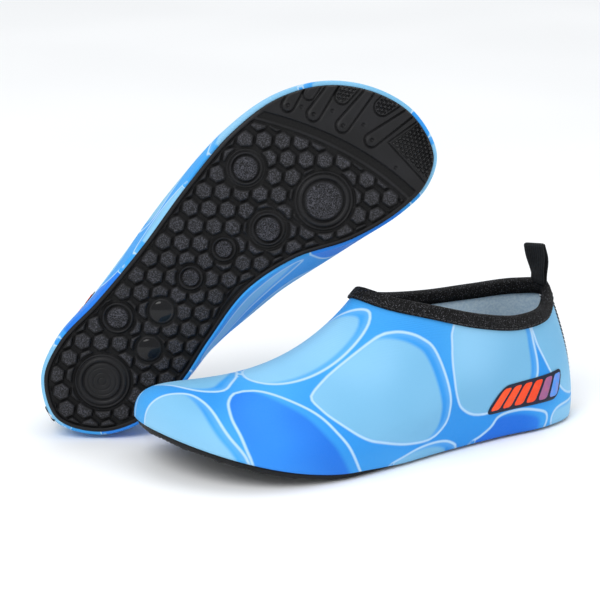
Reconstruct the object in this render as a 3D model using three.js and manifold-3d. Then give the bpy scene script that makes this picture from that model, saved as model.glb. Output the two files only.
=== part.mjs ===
// A pair of slip-on water shoes: a printed stretch upper on a flexible studded rubber outsole.
// Millimetres, +Z up.  Each shoe is modelled standing in its own axes (heel at x = 0, toe towards +X,
// big-toe side towards +Y) and is then placed: the left one stands, the right one shows its tread.
import * as THREE from "three";
import { mergeVertices } from "three/addons/utils/BufferGeometryUtils.js";
import Module from "manifold-3d";

// ---- driving dimensions ----
const soleLength = 248;
const ballWidth = 91;
const waistWidth = 60;
const heelWidth = 65;
const toeSpring = 22;          // how far the toe curls up from the floor
const springStart = 0.65;      // share of the length that lies flat
const springPower = 1.5;

const plateThickness = 1.9;    // rubber web between the studs
const studHeight = 1.8;
const studAcrossFlats = 7.9;
const studGap = 1.8;
const edgeBand = 4.5;          // plain rim of the tread
const studEmbed = 0.6;         // how far a stud's root runs into the plate

const fabricThickness = 1.2;
const liningThickness = 0.9;
const boardThickness = 1.2;
const insoleThickness = 3.2;
const seatGap = 0.3;           // clearance between pieces that touch
const wallClearance = 0.5;     // extra room round the board, so that it lies flat inside the walls
const stackDepth = fabricThickness + seatGap + liningThickness;

const throatX = 129;           // front of the foot opening
const throatHeight = 84;
const sideHeight = 63;         // lowest stretch of the topline
const heelHeight = 70;
const collarHalfWidth = 28;
const bindingHeight = 5.6;
const bindingWall = 1.0;

const tabWidth = 12;
const tabHeight = 21;
const tabDepth = 5.2;
const tabWebbing = 1.3;
const tabLift = 0.4;           // extra height of the tab's root, so that it swings clear of the edging
const tapeWidth = 9;
const tapeThickness = 0.7;
const tapeRows = [1.3, 6.9];       // steps up from the sole edge
const emblemThickness = 0.7;
const emblemSpan = [0.556, 0.66];  // shares of the way round, on the outer heel side
const emblemRows = [1.4, 3.3];

// ---- how the pair is set out ----
const leftTurn = 212;          // degrees about Z: the toe points left and forward
const rightRoll = 44.6;        // toe end of the right shoe, raised from level
const rightLean = 5;           // how far its sole leans back from upright
const rightTurn = 2;           // its turn about the upright
const rightOffset = { x: -165, y: -4 };  // its heel, from the middle of the left shoe
const leftTabLean = 10;        // degrees that the left pull tab leans forward
const rightTabFold = 55;       // degrees that the right pull tab lies over the opening

const facetLength = 6.2;       // of sole per pair of steps round its edge
const around = 2 * Math.round(soleLength / facetLength / 2);
const upward = 8;              // steps from sole edge to collar
const rad = THREE.MathUtils.degToRad;

// ---- sole outline: big-toe side is positive ----
const half = { ball: ballWidth / 2, waist: waistWidth / 2, heel: heelWidth / 2 };
const outlineKnots = [
  [1.0, 0.4 * half.ball], [0.972, 0.9 * half.ball], [0.912, 1.08 * half.ball], [0.83, 1.07 * half.ball],
  [0.72, 0.9 * half.ball], [0.61, 0.6 * half.ball], [0.49, 0.72 * half.waist], [0.36, 0.88 * half.waist],
  [0.25, 0.99 * half.heel], [0.13, 0.97 * half.heel], [0.045, 0.62 * half.heel], [0, -0.05 * half.heel],
  [0.045, -0.7 * half.heel], [0.13, -0.97 * half.heel], [0.25, -1.01 * half.heel], [0.4, -1.22 * half.waist],
  [0.55, -1.42 * half.waist], [0.7, -1.01 * half.ball], [0.82, -0.91 * half.ball], [0.915, -0.6 * half.ball],
  [0.978, -0.12 * half.ball],
];
const outlineCurve = new THREE.CatmullRomCurve3(
  outlineKnots.map(([along, y]) => new THREE.Vector3(along * soleLength, y, 0)), true, "centripetal");

function springAt(x) {
  const start = springStart * soleLength;
  const t = Math.max(0, (x - start) / (soleLength - start));
  return toeSpring * t ** springPower;
}

// Outline moved inwards by inset, as a closed ring of points.
function outlineRing(count, inset = 0) {
  const ring = outlineCurve.getSpacedPoints(count).slice(0, count);
  return ring.map((p, i) => {
    const before = ring[(i + count - 1) % count];
    const after = ring[(i + 1) % count];
    const tangent = after.clone().sub(before).normalize();
    return new THREE.Vector3(p.x + tangent.y * -inset, p.y + tangent.x * inset, 0);
  });
}

// The two y values where the ring crosses a given x.
function widthAt(ring, x) {
  const found = [];
  ring.forEach((a, i) => {
    const b = ring[(i + 1) % ring.length];
    if ((a.x <= x) !== (b.x <= x)) found.push(a.y + ((x - a.x) / (b.x - a.x)) * (b.y - a.y));
  });
  return [Math.min(...found), Math.max(...found)];
}

function meshGeometry(vertices, triangles) {
  const geometry = new THREE.BufferGeometry();
  geometry.setAttribute("position", new THREE.Float32BufferAttribute(vertices.flat(), 3));
  geometry.setIndex(triangles.flat());
  return geometry;
}

// ---- flat layers that follow the toe spring ----
function soleLayer(inset, bottom, thickness, ringSteps = 240) {
  const steps = 26;
  const ring = outlineRing(ringSteps, inset);
  const xs = ring.map((p) => p.x);
  const low = Math.min(...xs) + 0.4;
  const high = Math.max(...xs) - 0.4;
  const vertices = [];
  const triangles = [];
  for (let i = 0; i <= steps; i += 1) {
    const x = low + (high - low) * 0.5 * (1 - Math.cos((Math.PI * i) / steps));
    const [outer, inner] = widthAt(ring, x);
    const z = springAt(x) + bottom;
    vertices.push([x, outer, z], [x, inner, z], [x, inner, z + thickness], [x, outer, z + thickness]);
  }
  for (let i = 0; i < steps; i += 1) {
    for (let k = 0; k < 4; k += 1) {
      const a = i * 4 + k;
      const b = i * 4 + ((k + 1) % 4);
      triangles.push([a, b, a + 4], [b, b + 4, a + 4]);
    }
  }
  const last = steps * 4;
  triangles.push([0, 2, 1], [0, 3, 2], [last, last + 1, last + 2], [last, last + 2, last + 3]);
  return meshGeometry(vertices, triangles);
}

// ---- booleans ----
const wasm = await Module();
wasm.setup();

function toSolid(geometry) {
  const plain = geometry.index ? geometry : geometry.clone();
  plain.deleteAttribute("normal");
  plain.deleteAttribute("uv");
  const merged = mergeVertices(plain, 1e-4);
  return new wasm.Manifold(new wasm.Mesh({
    numProp: 3,
    vertProperties: new Float32Array(merged.attributes.position.array),
    triVerts: new Uint32Array(merged.index.array),
  }));
}

function toGeometry(solid) {
  const mesh = solid.getMesh();
  const geometry = new THREE.BufferGeometry();
  geometry.setAttribute("position", new THREE.BufferAttribute(mesh.vertProperties, 3));
  geometry.setIndex(new THREE.BufferAttribute(mesh.triVerts, 1));
  return geometry;
}

// Straight prism from the tread plane up into the plate, sheared to follow the toe spring.
function prism(points, height = studHeight) {
  const n = points.length;
  const top = studHeight + studEmbed;
  const foot = studHeight - height;
  const vertices = [];
  const triangles = [];
  points.forEach(([x, y]) => vertices.push([x, y, springAt(x) + foot], [x, y, springAt(x) + top]));
  for (let i = 0; i < n; i += 1) {
    const j = (i + 1) % n;
    triangles.push([2 * i, 2 * j, 2 * j + 1], [2 * i, 2 * j + 1, 2 * i + 1]);
  }
  const contour = points.map(([x, y]) => new THREE.Vector2(x, y));
  THREE.ShapeUtils.triangulateShape(contour, []).forEach(([a, b, c]) => {
    triangles.push([2 * a, 2 * c, 2 * b], [2 * a + 1, 2 * b + 1, 2 * c + 1]);
  });
  return toSolid(meshGeometry(vertices, triangles));
}

function polygon(x, y, radius, sides, turn = 0) {
  return Array.from({ length: sides }, (_, i) => {
    const angle = turn + (2 * Math.PI * i) / sides;
    return [x + radius * Math.cos(angle), y + radius * Math.sin(angle)];
  });
}

// ---- tread: round pods, toe bars and a field of six-sided studs ----
// place along and across are shares of the length and of half the ball width
const pods = [
  { along: 0.135, across: 0.02, radius: 14.7 },
  { along: 0.255, across: 0.13, radius: 6.8 },
  { along: 0.332, across: -0.08, radius: 6.8 },
  { along: 0.256, across: -0.38, radius: 8.4 },
  { along: 0.426, across: -0.12, radius: 6.6 },
  { along: 0.519, across: -0.09, radius: 6.6 },
  { along: 0.615, across: 0.1, radius: 10 },
  { along: 0.672, across: -0.57, radius: 10 },
  { along: 0.739, across: 0.32, radius: 15.3 },
];
const podAt = (pod) => [pod.along * soleLength, pod.across * half.ball];
const studTurn = -6.5;         // degrees that the stud rows run off the shoe's axis
const rowStretch = 1.17;       // the rows stand a little further apart along the shoe than across it
const ringFine = 160;          // points round the outline where it only bounds the studs
// Strips of the toe zone, [from, to] across: bars with pads between them, and one wide pad.
const toeStrips = [[-37, -31], [-27, -20.5], [-18.5, -12.5], [-8.5, -2], [0, 6], [8, 14.5], [17.5, 45]];
const channelHalf = 4;

function insideRing(ring, x, y) {
  let inside = false;
  ring.forEach((a, i) => {
    const b = ring[(i + 1) % ring.length];
    if ((a.y > y) !== (b.y > y) && x < ((b.x - a.x) * (y - a.y)) / (b.y - a.y) + a.x) inside = !inside;
  });
  return inside;
}

// The flex channel between studs and toe zone bows back on the little-toe side.
const channelAt = (y) => soleLength * 0.846 + 0.325 * y - 0.0033 * y * y;

function archPlate() {
  const x = soleLength * 0.49;
  const y = half.waist * 0.44;
  return [[x - 33, y + 7], [x - 20, y - 2], [x + 18, y - 3], [x + 38, y + 9], [x + 30, y + 11],
    [x + 10, y + 3.5], [x - 14, y + 4.5], [x - 30, y + 11]];
}

function studSolids() {
  const field = outlineRing(ringFine, edgeBand + studAcrossFlats * 0.42);
  const pitch = studAcrossFlats + studGap;
  const alongStep = pitch * rowStretch;
  const acrossStep = pitch * 0.81;
  const turn = rad(studTurn);
  const corner = studAcrossFlats / Math.sqrt(3);
  const solids = [];
  for (let row = -12; row <= 12; row += 1) {
    for (let column = 0; column * alongStep < soleLength; column += 1) {
      const u = (column + Math.abs(row % 2) / 2) * alongStep;
      const v = row * acrossStep;
      const x = u * Math.cos(turn) - v * Math.sin(turn);
      const y = u * Math.sin(turn) + v * Math.cos(turn) + soleLength * 0.06;
      const clearOfPods = pods.every((pod) => {
        const [px, py] = podAt(pod);
        return Math.hypot(x - px, y - py) > pod.radius + studAcrossFlats * 0.52;
      });
      const atArch = y > half.waist * 0.3 && x > soleLength * 0.35 && x < soleLength * 0.64;
      const behindChannel = x < channelAt(y) - studAcrossFlats * 0.5 - channelHalf;
      if (insideRing(field, x, y) && clearOfPods && !atArch && behindChannel) {
        solids.push(prism(polygon(x, y, corner, 6, turn + Math.PI / 6)));
      }
    }
  }
  return solids;
}

// Each strip runs from the channel to the plain rim of the toe.
function toeBlocks() {
  const ring = outlineRing(ringFine, edgeBand);
  return toeStrips.flatMap(([from, to]) => {
    const reach = (y) => {
      let x = channelAt(y) + channelHalf;
      while (insideRing(ring, x + 1, y)) x += 1;
      return x;
    };
    const ys = to - from > 10 ? [from, (2 * from + to) / 3, (from + 2 * to) / 3, to] : [from, to];
    const roots = ys.map((y) => [channelAt(y) + channelHalf, y]);
    const tips = ys.map((y) => [reach(y), y]).reverse();
    const room = Math.min(...ys.map((y) => reach(y) - channelAt(y) - channelHalf));
    return room > 3 ? [prism([...roots.reverse(), ...tips.reverse()])] : [];
  });
}

function edgeRim() {
  const outer = toSolid(soleLayer(0.6, 0.7, studHeight));
  const inner = toSolid(soleLayer(edgeBand * 0.75, -2, studHeight + 6));
  return outer.subtract(inner);
}

function outsole() {
  let solid = toSolid(soleLayer(0, studHeight, plateThickness)).add(edgeRim()).add(prism(archPlate()));
  pods.forEach((pod) => {
    solid = solid.add(prism(polygon(...podAt(pod), pod.radius, pod.radius > 9 ? 16 : 12)));
  });
  [...studSolids(), ...toeBlocks()].forEach((piece) => {
    solid = solid.add(piece);
  });
  return toGeometry(solid);
}

// ---- upper: meridians run from the sole edge up to the collar ----
const soleTop = studHeight + plateThickness;

// Topline of the foot opening from the throat to the heel: x, share of the half width, z.
const collarKnots = [
  [throatX, 0, throatHeight],
  [throatX * 0.94, 0.62, throatHeight * 0.975],
  [throatX * 0.8, 0.95, throatHeight * 0.92],
  [throatX * 0.57, 1.0, sideHeight * 1.09],
  [throatX * 0.36, 0.86, sideHeight],
  [throatX * 0.18, 0.5, sideHeight * 1.02],
  [throatX * 0.105, 0, heelHeight],
];

function collarCurve() {
  const near = collarKnots.map(([x, y, z]) => new THREE.Vector3(x, y * collarHalfWidth, z));
  const far = near.slice(1, -1).reverse().map((p) => new THREE.Vector3(p.x, -p.y, p.z));
  return new THREE.CatmullRomCurve3([...near, ...far], true, "centripetal");
}

// Shape of the meridians: where they leave the sole edge and how they meet the collar.
// share: 0 toe, 1 heel; out and rise leave the sole; reach is from the collar, [forward, sideways, down]
const meridianKeys = [
  { share: 0, out: 5.5, rise: 30, reach: [58, 0, 57] },
  { share: 0.15, out: 6, rise: 26, reach: [53, 6, 60] },
  { share: 0.33, out: 6, rise: 22, reach: [37, 9, 56] },
  { share: 0.5, out: 7, rise: 23, reach: [17, 8, 40] },
  { share: 0.66, out: 7, rise: 26, reach: [4, 6, 26] },
  { share: 0.82, out: 4.5, rise: 25, reach: [-4, 6, 22] },
  { share: 1, out: 4, rise: 24, reach: [-9, 0, 22] },
];
const archFill = 10;           // the fabric stands further out over the narrow waist, big-toe side

function meridianShape(share) {
  const next = Math.max(1, meridianKeys.findIndex((key) => key.share >= share));
  const a = meridianKeys[next - 1];
  const b = meridianKeys[next];
  const t = (share - a.share) / (b.share - a.share);
  const mix = (p, q) => p + (q - p) * t;
  const reach = a.reach.map((v, i) => mix(v, b.reach[i]));
  return { out: mix(a.out, b.out), rise: mix(a.rise, b.rise), reach };
}

// Curves with the same number of points all round, from the sole edge to the collar.
function upperGrid() {
  const edge = outlineRing(around);
  const heelIndex = edge.reduce((best, p, i) => (p.x < edge[best].x ? i : best), 0);
  const collar = collarCurve();
  const heelShare = collarHeelShare(collar);
  return edge.map((foot, i) => {
    const bigToeSide = i <= heelIndex;
    const share = bigToeSide ? i / heelIndex : (around - i) / (around - heelIndex);
    const collarShare = bigToeSide ? share * heelShare : 1 - share * (1 - heelShare);
    const top = collar.getPointAt(collarShare % 1);
    const side = top.y === 0 ? 0 : Math.sign(top.y);
    const before = edge[(i + around - 1) % around];
    const after = edge[(i + 1) % around];
    const tangent = after.clone().sub(before).normalize();
    const shape = meridianShape(share);
    const arch = bigToeSide ? archFill * Math.exp(-(((foot.x / soleLength - 0.5) / 0.17) ** 2)) : 0;
    const start = new THREE.Vector3(foot.x, foot.y, springAt(foot.x) + soleTop + seatGap);
    const out = shape.out + arch;
    const first = start.clone().add(new THREE.Vector3(tangent.y * out, -tangent.x * out, shape.rise));
    const second = top.clone().add(new THREE.Vector3(shape.reach[0], side * shape.reach[1], -shape.reach[2]));
    return new THREE.CubicBezierCurve3(start, first, second, top);
  });
}

function collarHeelShare(collar) {
  const samples = 400;
  let best = 0;
  for (let i = 0; i < samples; i += 1) {
    if (collar.getPointAt(i / samples).x < collar.getPointAt(best / samples).x) best = i;
  }
  return best / samples;
}

const meridians = upperGrid();

function surfacePoint(i, v) {
  return meridians[((i % around) + around) % around].getPoint(v);
}

// Outward direction of the upper; level at the sole edge so that its foot sits flat.
function surfaceNormal(i, v) {
  const along = surfacePoint(i + 1, v).sub(surfacePoint(i - 1, v));
  const step = 0.02;
  const up = surfacePoint(i, Math.min(1, v + step)).sub(surfacePoint(i, Math.max(0, v - step)));
  const normal = along.cross(up).normalize();
  if (v === 0) normal.setZ(0).normalize();
  return normal;
}

function shellPoint(i, v, depth) {
  return surfacePoint(i, v).addScaledVector(surfaceNormal(i, v), -depth);
}

// Closed shell between two depths under the outer surface.
function shell(nearDepth, farDepth, topShare = 1) {
  const vertices = [];
  const triangles = [];
  const layer = (upward + 1) * around;
  [nearDepth, farDepth].forEach((depth) => {
    for (let j = 0; j <= upward; j += 1) {
      for (let i = 0; i < around; i += 1) {
        vertices.push(shellPoint(i, (j / upward) * topShare, depth).toArray());
      }
    }
  });
  const quad = (a, b, c, d) => triangles.push([a, b, c], [a, c, d]);
  for (let i = 0; i < around; i += 1) {
    const n = (i + 1) % around;
    for (let j = 0; j < upward; j += 1) {
      const a = j * around;
      const b = a + around;
      quad(a + i, a + n, b + n, b + i);
      quad(layer + a + i, layer + b + i, layer + b + n, layer + a + n);
    }
    const rim = upward * around;
    quad(i, layer + i, layer + n, n);
    quad(rim + i, rim + n, layer + rim + n, layer + rim + i);
  }
  return meshGeometry(vertices, triangles);
}

// Patch of material that lies along the upper at a given depth, over a run of meridians.
function patch(columns, rows, nearDepth, farDepth) {
  const vertices = [];
  const triangles = [];
  const wide = columns.length;
  const layer = wide * rows.length;
  [nearDepth, farDepth].forEach((depth) => {
    rows.forEach((row) => columns.forEach((i) => vertices.push(facetPoint(i, row, depth).toArray())));
  });
  const quad = (a, b, c, d) => triangles.push([a, b, c], [a, c, d]);
  for (let j = 0; j < rows.length - 1; j += 1) {
    for (let i = 0; i < wide - 1; i += 1) {
      const a = j * wide + i;
      quad(a, a + 1, a + wide + 1, a + wide);
      quad(layer + a, layer + a + wide, layer + a + wide + 1, layer + a + 1);
    }
    const left = j * wide;
    const right = left + wide - 1;
    quad(left, left + wide, layer + left + wide, layer + left);
    quad(right, layer + right, layer + right + wide, right + wide);
  }
  const topRow = (rows.length - 1) * wide;
  for (let i = 0; i < wide - 1; i += 1) {
    quad(i, layer + i, layer + i + 1, i + 1);
    quad(topRow + i, topRow + i + 1, layer + topRow + i + 1, layer + topRow + i);
  }
  return meshGeometry(vertices, triangles);
}

// Point on the straight facets of the shell, between its meridians and its rows.
function facetPoint(i, row, depth) {
  const low = Math.floor(i);
  const under = Math.min(Math.floor(row), upward - 1);
  const onRow = (r) => {
    const v = r / upward;
    return shellPoint(low, v, depth).lerp(shellPoint(low + 1, v, depth), i - low);
  };
  return onRow(under).lerp(onRow(under + 1), row - under);
}

// Both ends of a stretch and the whole numbers between them.
function breaks(from, to) {
  const first = Math.floor(from) + 1;
  const inner = Array.from({ length: Math.ceil(to) - first }, (_, i) => first + i);
  return [from, ...inner, to];
}

// Folded edging over the topline, its section open downwards.
function collarBinding() {
  const outside = bindingWall + seatGap;
  const inside = -(stackDepth + bindingWall + seatGap);
  const below = bindingWall - bindingHeight;
  const section = [[outside, below], [outside, bindingWall], [inside, bindingWall], [inside, below],
    [inside + bindingWall, below], [inside + bindingWall, 0], [outside - bindingWall, 0],
    [outside - bindingWall, below]];
  const vertices = [];
  const triangles = [];
  const n = section.length;
  for (let i = 0; i < around; i += 1) {
    const top = surfacePoint(i, 1);
    const normal = surfaceNormal(i, 1);
    const up = top.clone().sub(surfacePoint(i, 0.94)).normalize();
    section.forEach(([side, lift]) => {
      vertices.push(top.clone().addScaledVector(normal, side).addScaledVector(up, lift + seatGap).toArray());
    });
  }
  for (let i = 0; i < around; i += 1) {
    for (let k = 0; k < n; k += 1) {
      const a = i * n + k;
      const b = i * n + ((k + 1) % n);
      const c = ((i + 1) % around) * n;
      triangles.push([a, c + ((k + 1) % n), b], [a, c + k, c + ((k + 1) % n)]);
    }
  }
  return meshGeometry(vertices, triangles);
}

const heelIndex = meridians.reduce((best, m, i) => (m.v0.x < meridians[best].v0.x ? i : best), 0);

// The tab is a loop of webbing that stands on the binding at the heel; it hinges at its root.
function tabRoot() {
  const top = surfacePoint(heelIndex, 1);
  const normal = surfaceNormal(heelIndex, 1);
  const point = top.clone().addScaledVector(normal, -stackDepth / 2);
  point.z = top.z + bindingWall + seatGap * 2 + tabDepth / 2 + tabLift;
  point.y = 0;
  return point;
}

function pullTab() {
  const r = tabDepth / 2;
  const rise = tabHeight - tabDepth;
  const outer = new THREE.Shape();
  outer.moveTo(-r, 0);
  outer.absarc(0, 0, r, Math.PI, 2 * Math.PI, false);
  outer.lineTo(r, rise);
  outer.absarc(0, rise, r, 0, Math.PI, false);
  outer.closePath();
  const q = r - tabWebbing;
  const eye = new THREE.Path();
  eye.moveTo(-q, r * 0.9);
  eye.lineTo(-q, rise);
  eye.absarc(0, rise, q, Math.PI, 0, true);
  eye.lineTo(q, r * 0.9);
  eye.closePath();
  outer.holes.push(eye);
  const strip = new THREE.ExtrudeGeometry(outer, { depth: tabWidth, bevelEnabled: false, curveSegments: 5 });
  strip.translate(0, 0, -tabWidth / 2);
  strip.rotateX(Math.PI / 2);
  return mergeSolid(strip);
}

function mergeSolid(geometry) {
  geometry.deleteAttribute("normal");
  geometry.deleteAttribute("uv");
  return mergeVertices(geometry, 1e-4);
}

// ---- the pieces of one shoe ----
const innerInset = stackDepth + seatGap + wallClearance;

const finishes = {
  rubber: { color: 0x26262a, roughness: 0.62, metalness: 0 },
  board: { color: 0x8f949b, roughness: 0.95, metalness: 0 },
  foam: { color: 0x31353c, roughness: 0.9, metalness: 0 },
  print: { color: 0x6cbcf4, roughness: 0.7, metalness: 0 },
  lining: { color: 0x8cb4d2, roughness: 0.85, metalness: 0 },
  edging: { color: 0x17181b, roughness: 0.85, metalness: 0 },
  film: { color: 0xe2521c, roughness: 0.4, metalness: 0 },
};

function shoePieces() {
  const tapeHalf = tapeWidth / 2;
  const tapeSpan = tapeHalf / surfacePoint(heelIndex, 0.5).distanceTo(surfacePoint(heelIndex + 1, 0.5));
  const boardBottom = soleTop + seatGap;
  const insoleBottom = boardBottom + boardThickness + seatGap;
  const tapeColumns = breaks(heelIndex - tapeSpan, heelIndex + tapeSpan);
  const tapeFace = stackDepth + seatGap;
  const emblemColumns = breaks(...emblemSpan.map((share) => share * around));
  const emblemFace = -seatGap - emblemThickness;
  return {
    outsole: [outsole(), "rubber"],
    lasting_board: [soleLayer(innerInset, boardBottom, boardThickness, around), "board"],
    insole: [soleLayer(innerInset + seatGap, insoleBottom, insoleThickness, around), "foam"],
    upper: [shell(0, fabricThickness), "print"],
    lining: [shell(fabricThickness + seatGap, stackDepth), "lining"],
    heel_tape: [patch(tapeColumns, breaks(...tapeRows), tapeFace, tapeFace + tapeThickness), "edging"],
    collar_binding: [collarBinding(), "edging"],
    emblem: [patch(emblemColumns, breaks(...emblemRows), emblemFace, -seatGap), "film"],
  };
}

function mirrored(geometry) {
  const copy = geometry.clone();
  const position = copy.attributes.position;
  for (let i = 0; i < position.count; i += 1) position.setY(i, -position.getY(i));
  const index = Array.from(copy.index.array);
  for (let i = 0; i < index.length; i += 3) [index[i + 1], index[i + 2]] = [index[i + 2], index[i + 1]];
  copy.setIndex(index);
  return copy;
}

function shoe(side, tabTilt) {
  const group = new THREE.Group();
  const add = (name, geometry, finish, parent = group) => {
    const material = new THREE.MeshStandardMaterial(finishes[finish]);
    const mesh = new THREE.Mesh(side === "left" ? mirrored(geometry) : geometry, material);
    mesh.name = `${side}_${name}`;
    parent.add(mesh);
  };
  Object.entries(shoePieces()).forEach(([name, [geometry, finish]]) => add(name, geometry, finish));
  const hinge = new THREE.Group();
  hinge.position.copy(tabRoot());
  hinge.rotation.y = rad(tabTilt);
  add("pull_tab", pullTab(), "edging", hinge);
  group.add(hinge);
  return group;
}

// ---- the pair ----
const pair = new THREE.Group();

const left = shoe("left", leftTabLean);
const leftStand = new THREE.Group();
left.position.x = -soleLength / 2;
leftStand.add(left);
leftStand.rotation.z = rad(leftTurn);
pair.add(leftStand);

const right = shoe("right", rightTabFold);
const lean = rad(rightLean);
const roll = rad(rightRoll);
const toeward = new THREE.Vector3(
  Math.cos(roll), Math.sin(roll) * Math.sin(lean), Math.sin(roll) * Math.cos(lean));
const crown = new THREE.Vector3(0, Math.cos(lean), -Math.sin(lean));
const across = crown.clone().cross(toeward);
right.quaternion.setFromRotationMatrix(new THREE.Matrix4().makeBasis(toeward, across, crown));
right.rotateOnWorldAxis(new THREE.Vector3(0, 0, 1), rad(rightTurn));
right.position.set(rightOffset.x, rightOffset.y, 0);
pair.add(right);

// Both shoes touch the floor, and the pair is centred on its own footprint.
function standOnFloor(group) {
  pair.updateMatrixWorld(true);
  group.position.z -= new THREE.Box3().setFromObject(group, true).min.z;
}
standOnFloor(leftStand);
standOnFloor(right);
pair.updateMatrixWorld(true);
const whole = new THREE.Box3().setFromObject(pair, true);
const middle = whole.getCenter(new THREE.Vector3());
pair.position.set(-middle.x, -middle.y, -whole.min.z);

export default pair;
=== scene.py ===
import math

import bpy
import numpy as np
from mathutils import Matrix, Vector


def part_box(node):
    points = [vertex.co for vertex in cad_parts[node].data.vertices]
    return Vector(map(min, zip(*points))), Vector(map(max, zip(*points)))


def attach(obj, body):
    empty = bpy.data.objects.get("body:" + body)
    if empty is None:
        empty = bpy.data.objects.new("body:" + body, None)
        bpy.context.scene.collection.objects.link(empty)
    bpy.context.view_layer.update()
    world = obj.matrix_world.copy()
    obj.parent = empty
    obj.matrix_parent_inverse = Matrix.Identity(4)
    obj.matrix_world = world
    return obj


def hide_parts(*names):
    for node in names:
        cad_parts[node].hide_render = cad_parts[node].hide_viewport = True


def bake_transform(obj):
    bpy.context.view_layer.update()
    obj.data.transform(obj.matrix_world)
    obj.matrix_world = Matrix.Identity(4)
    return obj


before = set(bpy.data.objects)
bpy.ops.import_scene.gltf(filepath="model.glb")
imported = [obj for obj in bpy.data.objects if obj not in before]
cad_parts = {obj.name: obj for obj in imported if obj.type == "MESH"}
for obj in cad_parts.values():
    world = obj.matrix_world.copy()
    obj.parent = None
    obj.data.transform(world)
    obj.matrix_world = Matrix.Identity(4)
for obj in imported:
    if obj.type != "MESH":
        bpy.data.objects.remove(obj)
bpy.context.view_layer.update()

mm = 0.001
print("frame loaded")

# the shape that both shoes share, in millimetres: heel at x 0, big toe side at y +
last = {
    "length": 248, "ball": 45.5, "waist": 30, "heel": 32.5,
    "toeSpring": 22, "springStart": 0.65, "springPower": 1.5,
    "soleTop": 3.7, "plateBottom": 1.8, "gap": 0.3,
    "throatX": 129, "throatHigh": 84, "sideHigh": 63, "heelHigh": 72, "collarHalf": 28,
    "archFill": 10,
}
length = last["length"]
ball, waist, heel = last["ball"], last["waist"], last["heel"]
outlineKnots = np.array([
    [1.0, 0.4 * ball], [0.972, 0.9 * ball], [0.912, 1.08 * ball], [0.83, 1.07 * ball],
    [0.72, 0.9 * ball], [0.61, 0.6 * ball], [0.49, 0.72 * waist], [0.36, 0.88 * waist],
    [0.25, 0.99 * heel], [0.13, 0.97 * heel], [0.045, 0.62 * heel], [0, -0.05 * heel],
    [0.045, -0.7 * heel], [0.13, -0.97 * heel], [0.25, -1.01 * heel], [0.4, -1.22 * waist],
    [0.55, -1.42 * waist], [0.7, -1.01 * ball], [0.82, -0.91 * ball], [0.915, -0.6 * ball],
    [0.978, -0.12 * ball],
]) * [length, 1]

# how the fabric leaves the sole edge and meets the collar, from the toe (0) to the heel (1)
sideShape = {
    "at": [0, 0.15, 0.33, 0.5, 0.66, 0.82, 1],
    "out": [0, 1.5, 5, 6.5, 4.8, 2.2, 1.6],
    "rise": [42, 30, 22, 23, 26, 25, 24],
    "forward": [66, 53, 37, 17, 4, -4, -9],
    "sideways": [0, 5, 9, 8, 6, 6, 0],
    "down": [65, 65, 56, 40, 26, 22, 22],
}


def smooth(t):
    t = np.clip(t, 0, 1)
    return t * t * (3 - 2 * t)


def closedCurve(knots, shares):
    # smooth closed curve through the knots, read at shares of its length
    prior, after, beyond = np.roll(knots, 1, 0), np.roll(knots, -1, 0), np.roll(knots, -2, 0)
    gap0, gap1, gap2 = (np.linalg.norm(b - a, axis=1, keepdims=True) ** 0.5
                        for a, b in ((prior, knots), (knots, after), (after, beyond)))
    leave = ((knots - prior) / gap0 - (after - prior) / (gap0 + gap1) + (after - knots) / gap1) * gap1
    arrive = ((after - knots) / gap1 - (beyond - knots) / (gap1 + gap2) + (beyond - after) / gap2) * gap1
    t = np.linspace(0, 1, 40, endpoint=False)[None, :, None]
    a, b, leave, arrive = (part[:, None] for part in (knots, after, leave, arrive))
    line = (a + leave * t + (3 * b - 3 * a - 2 * leave - arrive) * t**2
            + (2 * a - 2 * b + leave + arrive) * t**3)
    line = line.reshape(-1, knots.shape[1])
    closed = np.vstack([line, line[:1]])
    run = np.concatenate([[0], np.cumsum(np.linalg.norm(np.diff(closed, axis=0), axis=1))])
    at = (np.asarray(shares, float) % 1) * run[-1]
    return np.stack([np.interp(at, run, closed[:, k]) for k in range(knots.shape[1])], -1)


def springAt(x):
    start = last["springStart"] * length
    t = np.clip((x - start) / (length - start), 0, None)
    return last["toeSpring"] * t ** last["springPower"]


def topline():
    # collar line from the throat round by the big toe side to the heel and back by the little toe side
    half, front = last["collarHalf"], last["throatX"]
    throat, side = last["throatHigh"], last["sideHigh"]
    spots = [(0.94, 0.62), (0.8, 0.95), (0.57, 1), (0.36, 0.86), (0.18, 0.5)]
    bigToeHigh = [throat * 0.935, throat * 0.85, side * 1.08, side * 1.09, side * 1.13]
    littleToeHigh = [throat * 0.975, throat * 0.92, side * 1.085, side, side * 1.01]
    bigToe = [[front * x, half * y, z] for (x, y), z in zip(spots, bigToeHigh)]
    littleToe = [[front * x, -half * y, z] for (x, y), z in zip(spots, littleToeHigh)]
    heelPoint = [front * 0.105, 0, last["heelHigh"]]
    return np.array([[front, 0, throat]] + bigToe + [heelPoint] + littleToe[::-1], float)


columns = 720  # steps round the upper's table of side curves
ringSteps = 720  # steps round the sole edge
coarse = 40  # the frame's own count of steps round the sole


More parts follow.
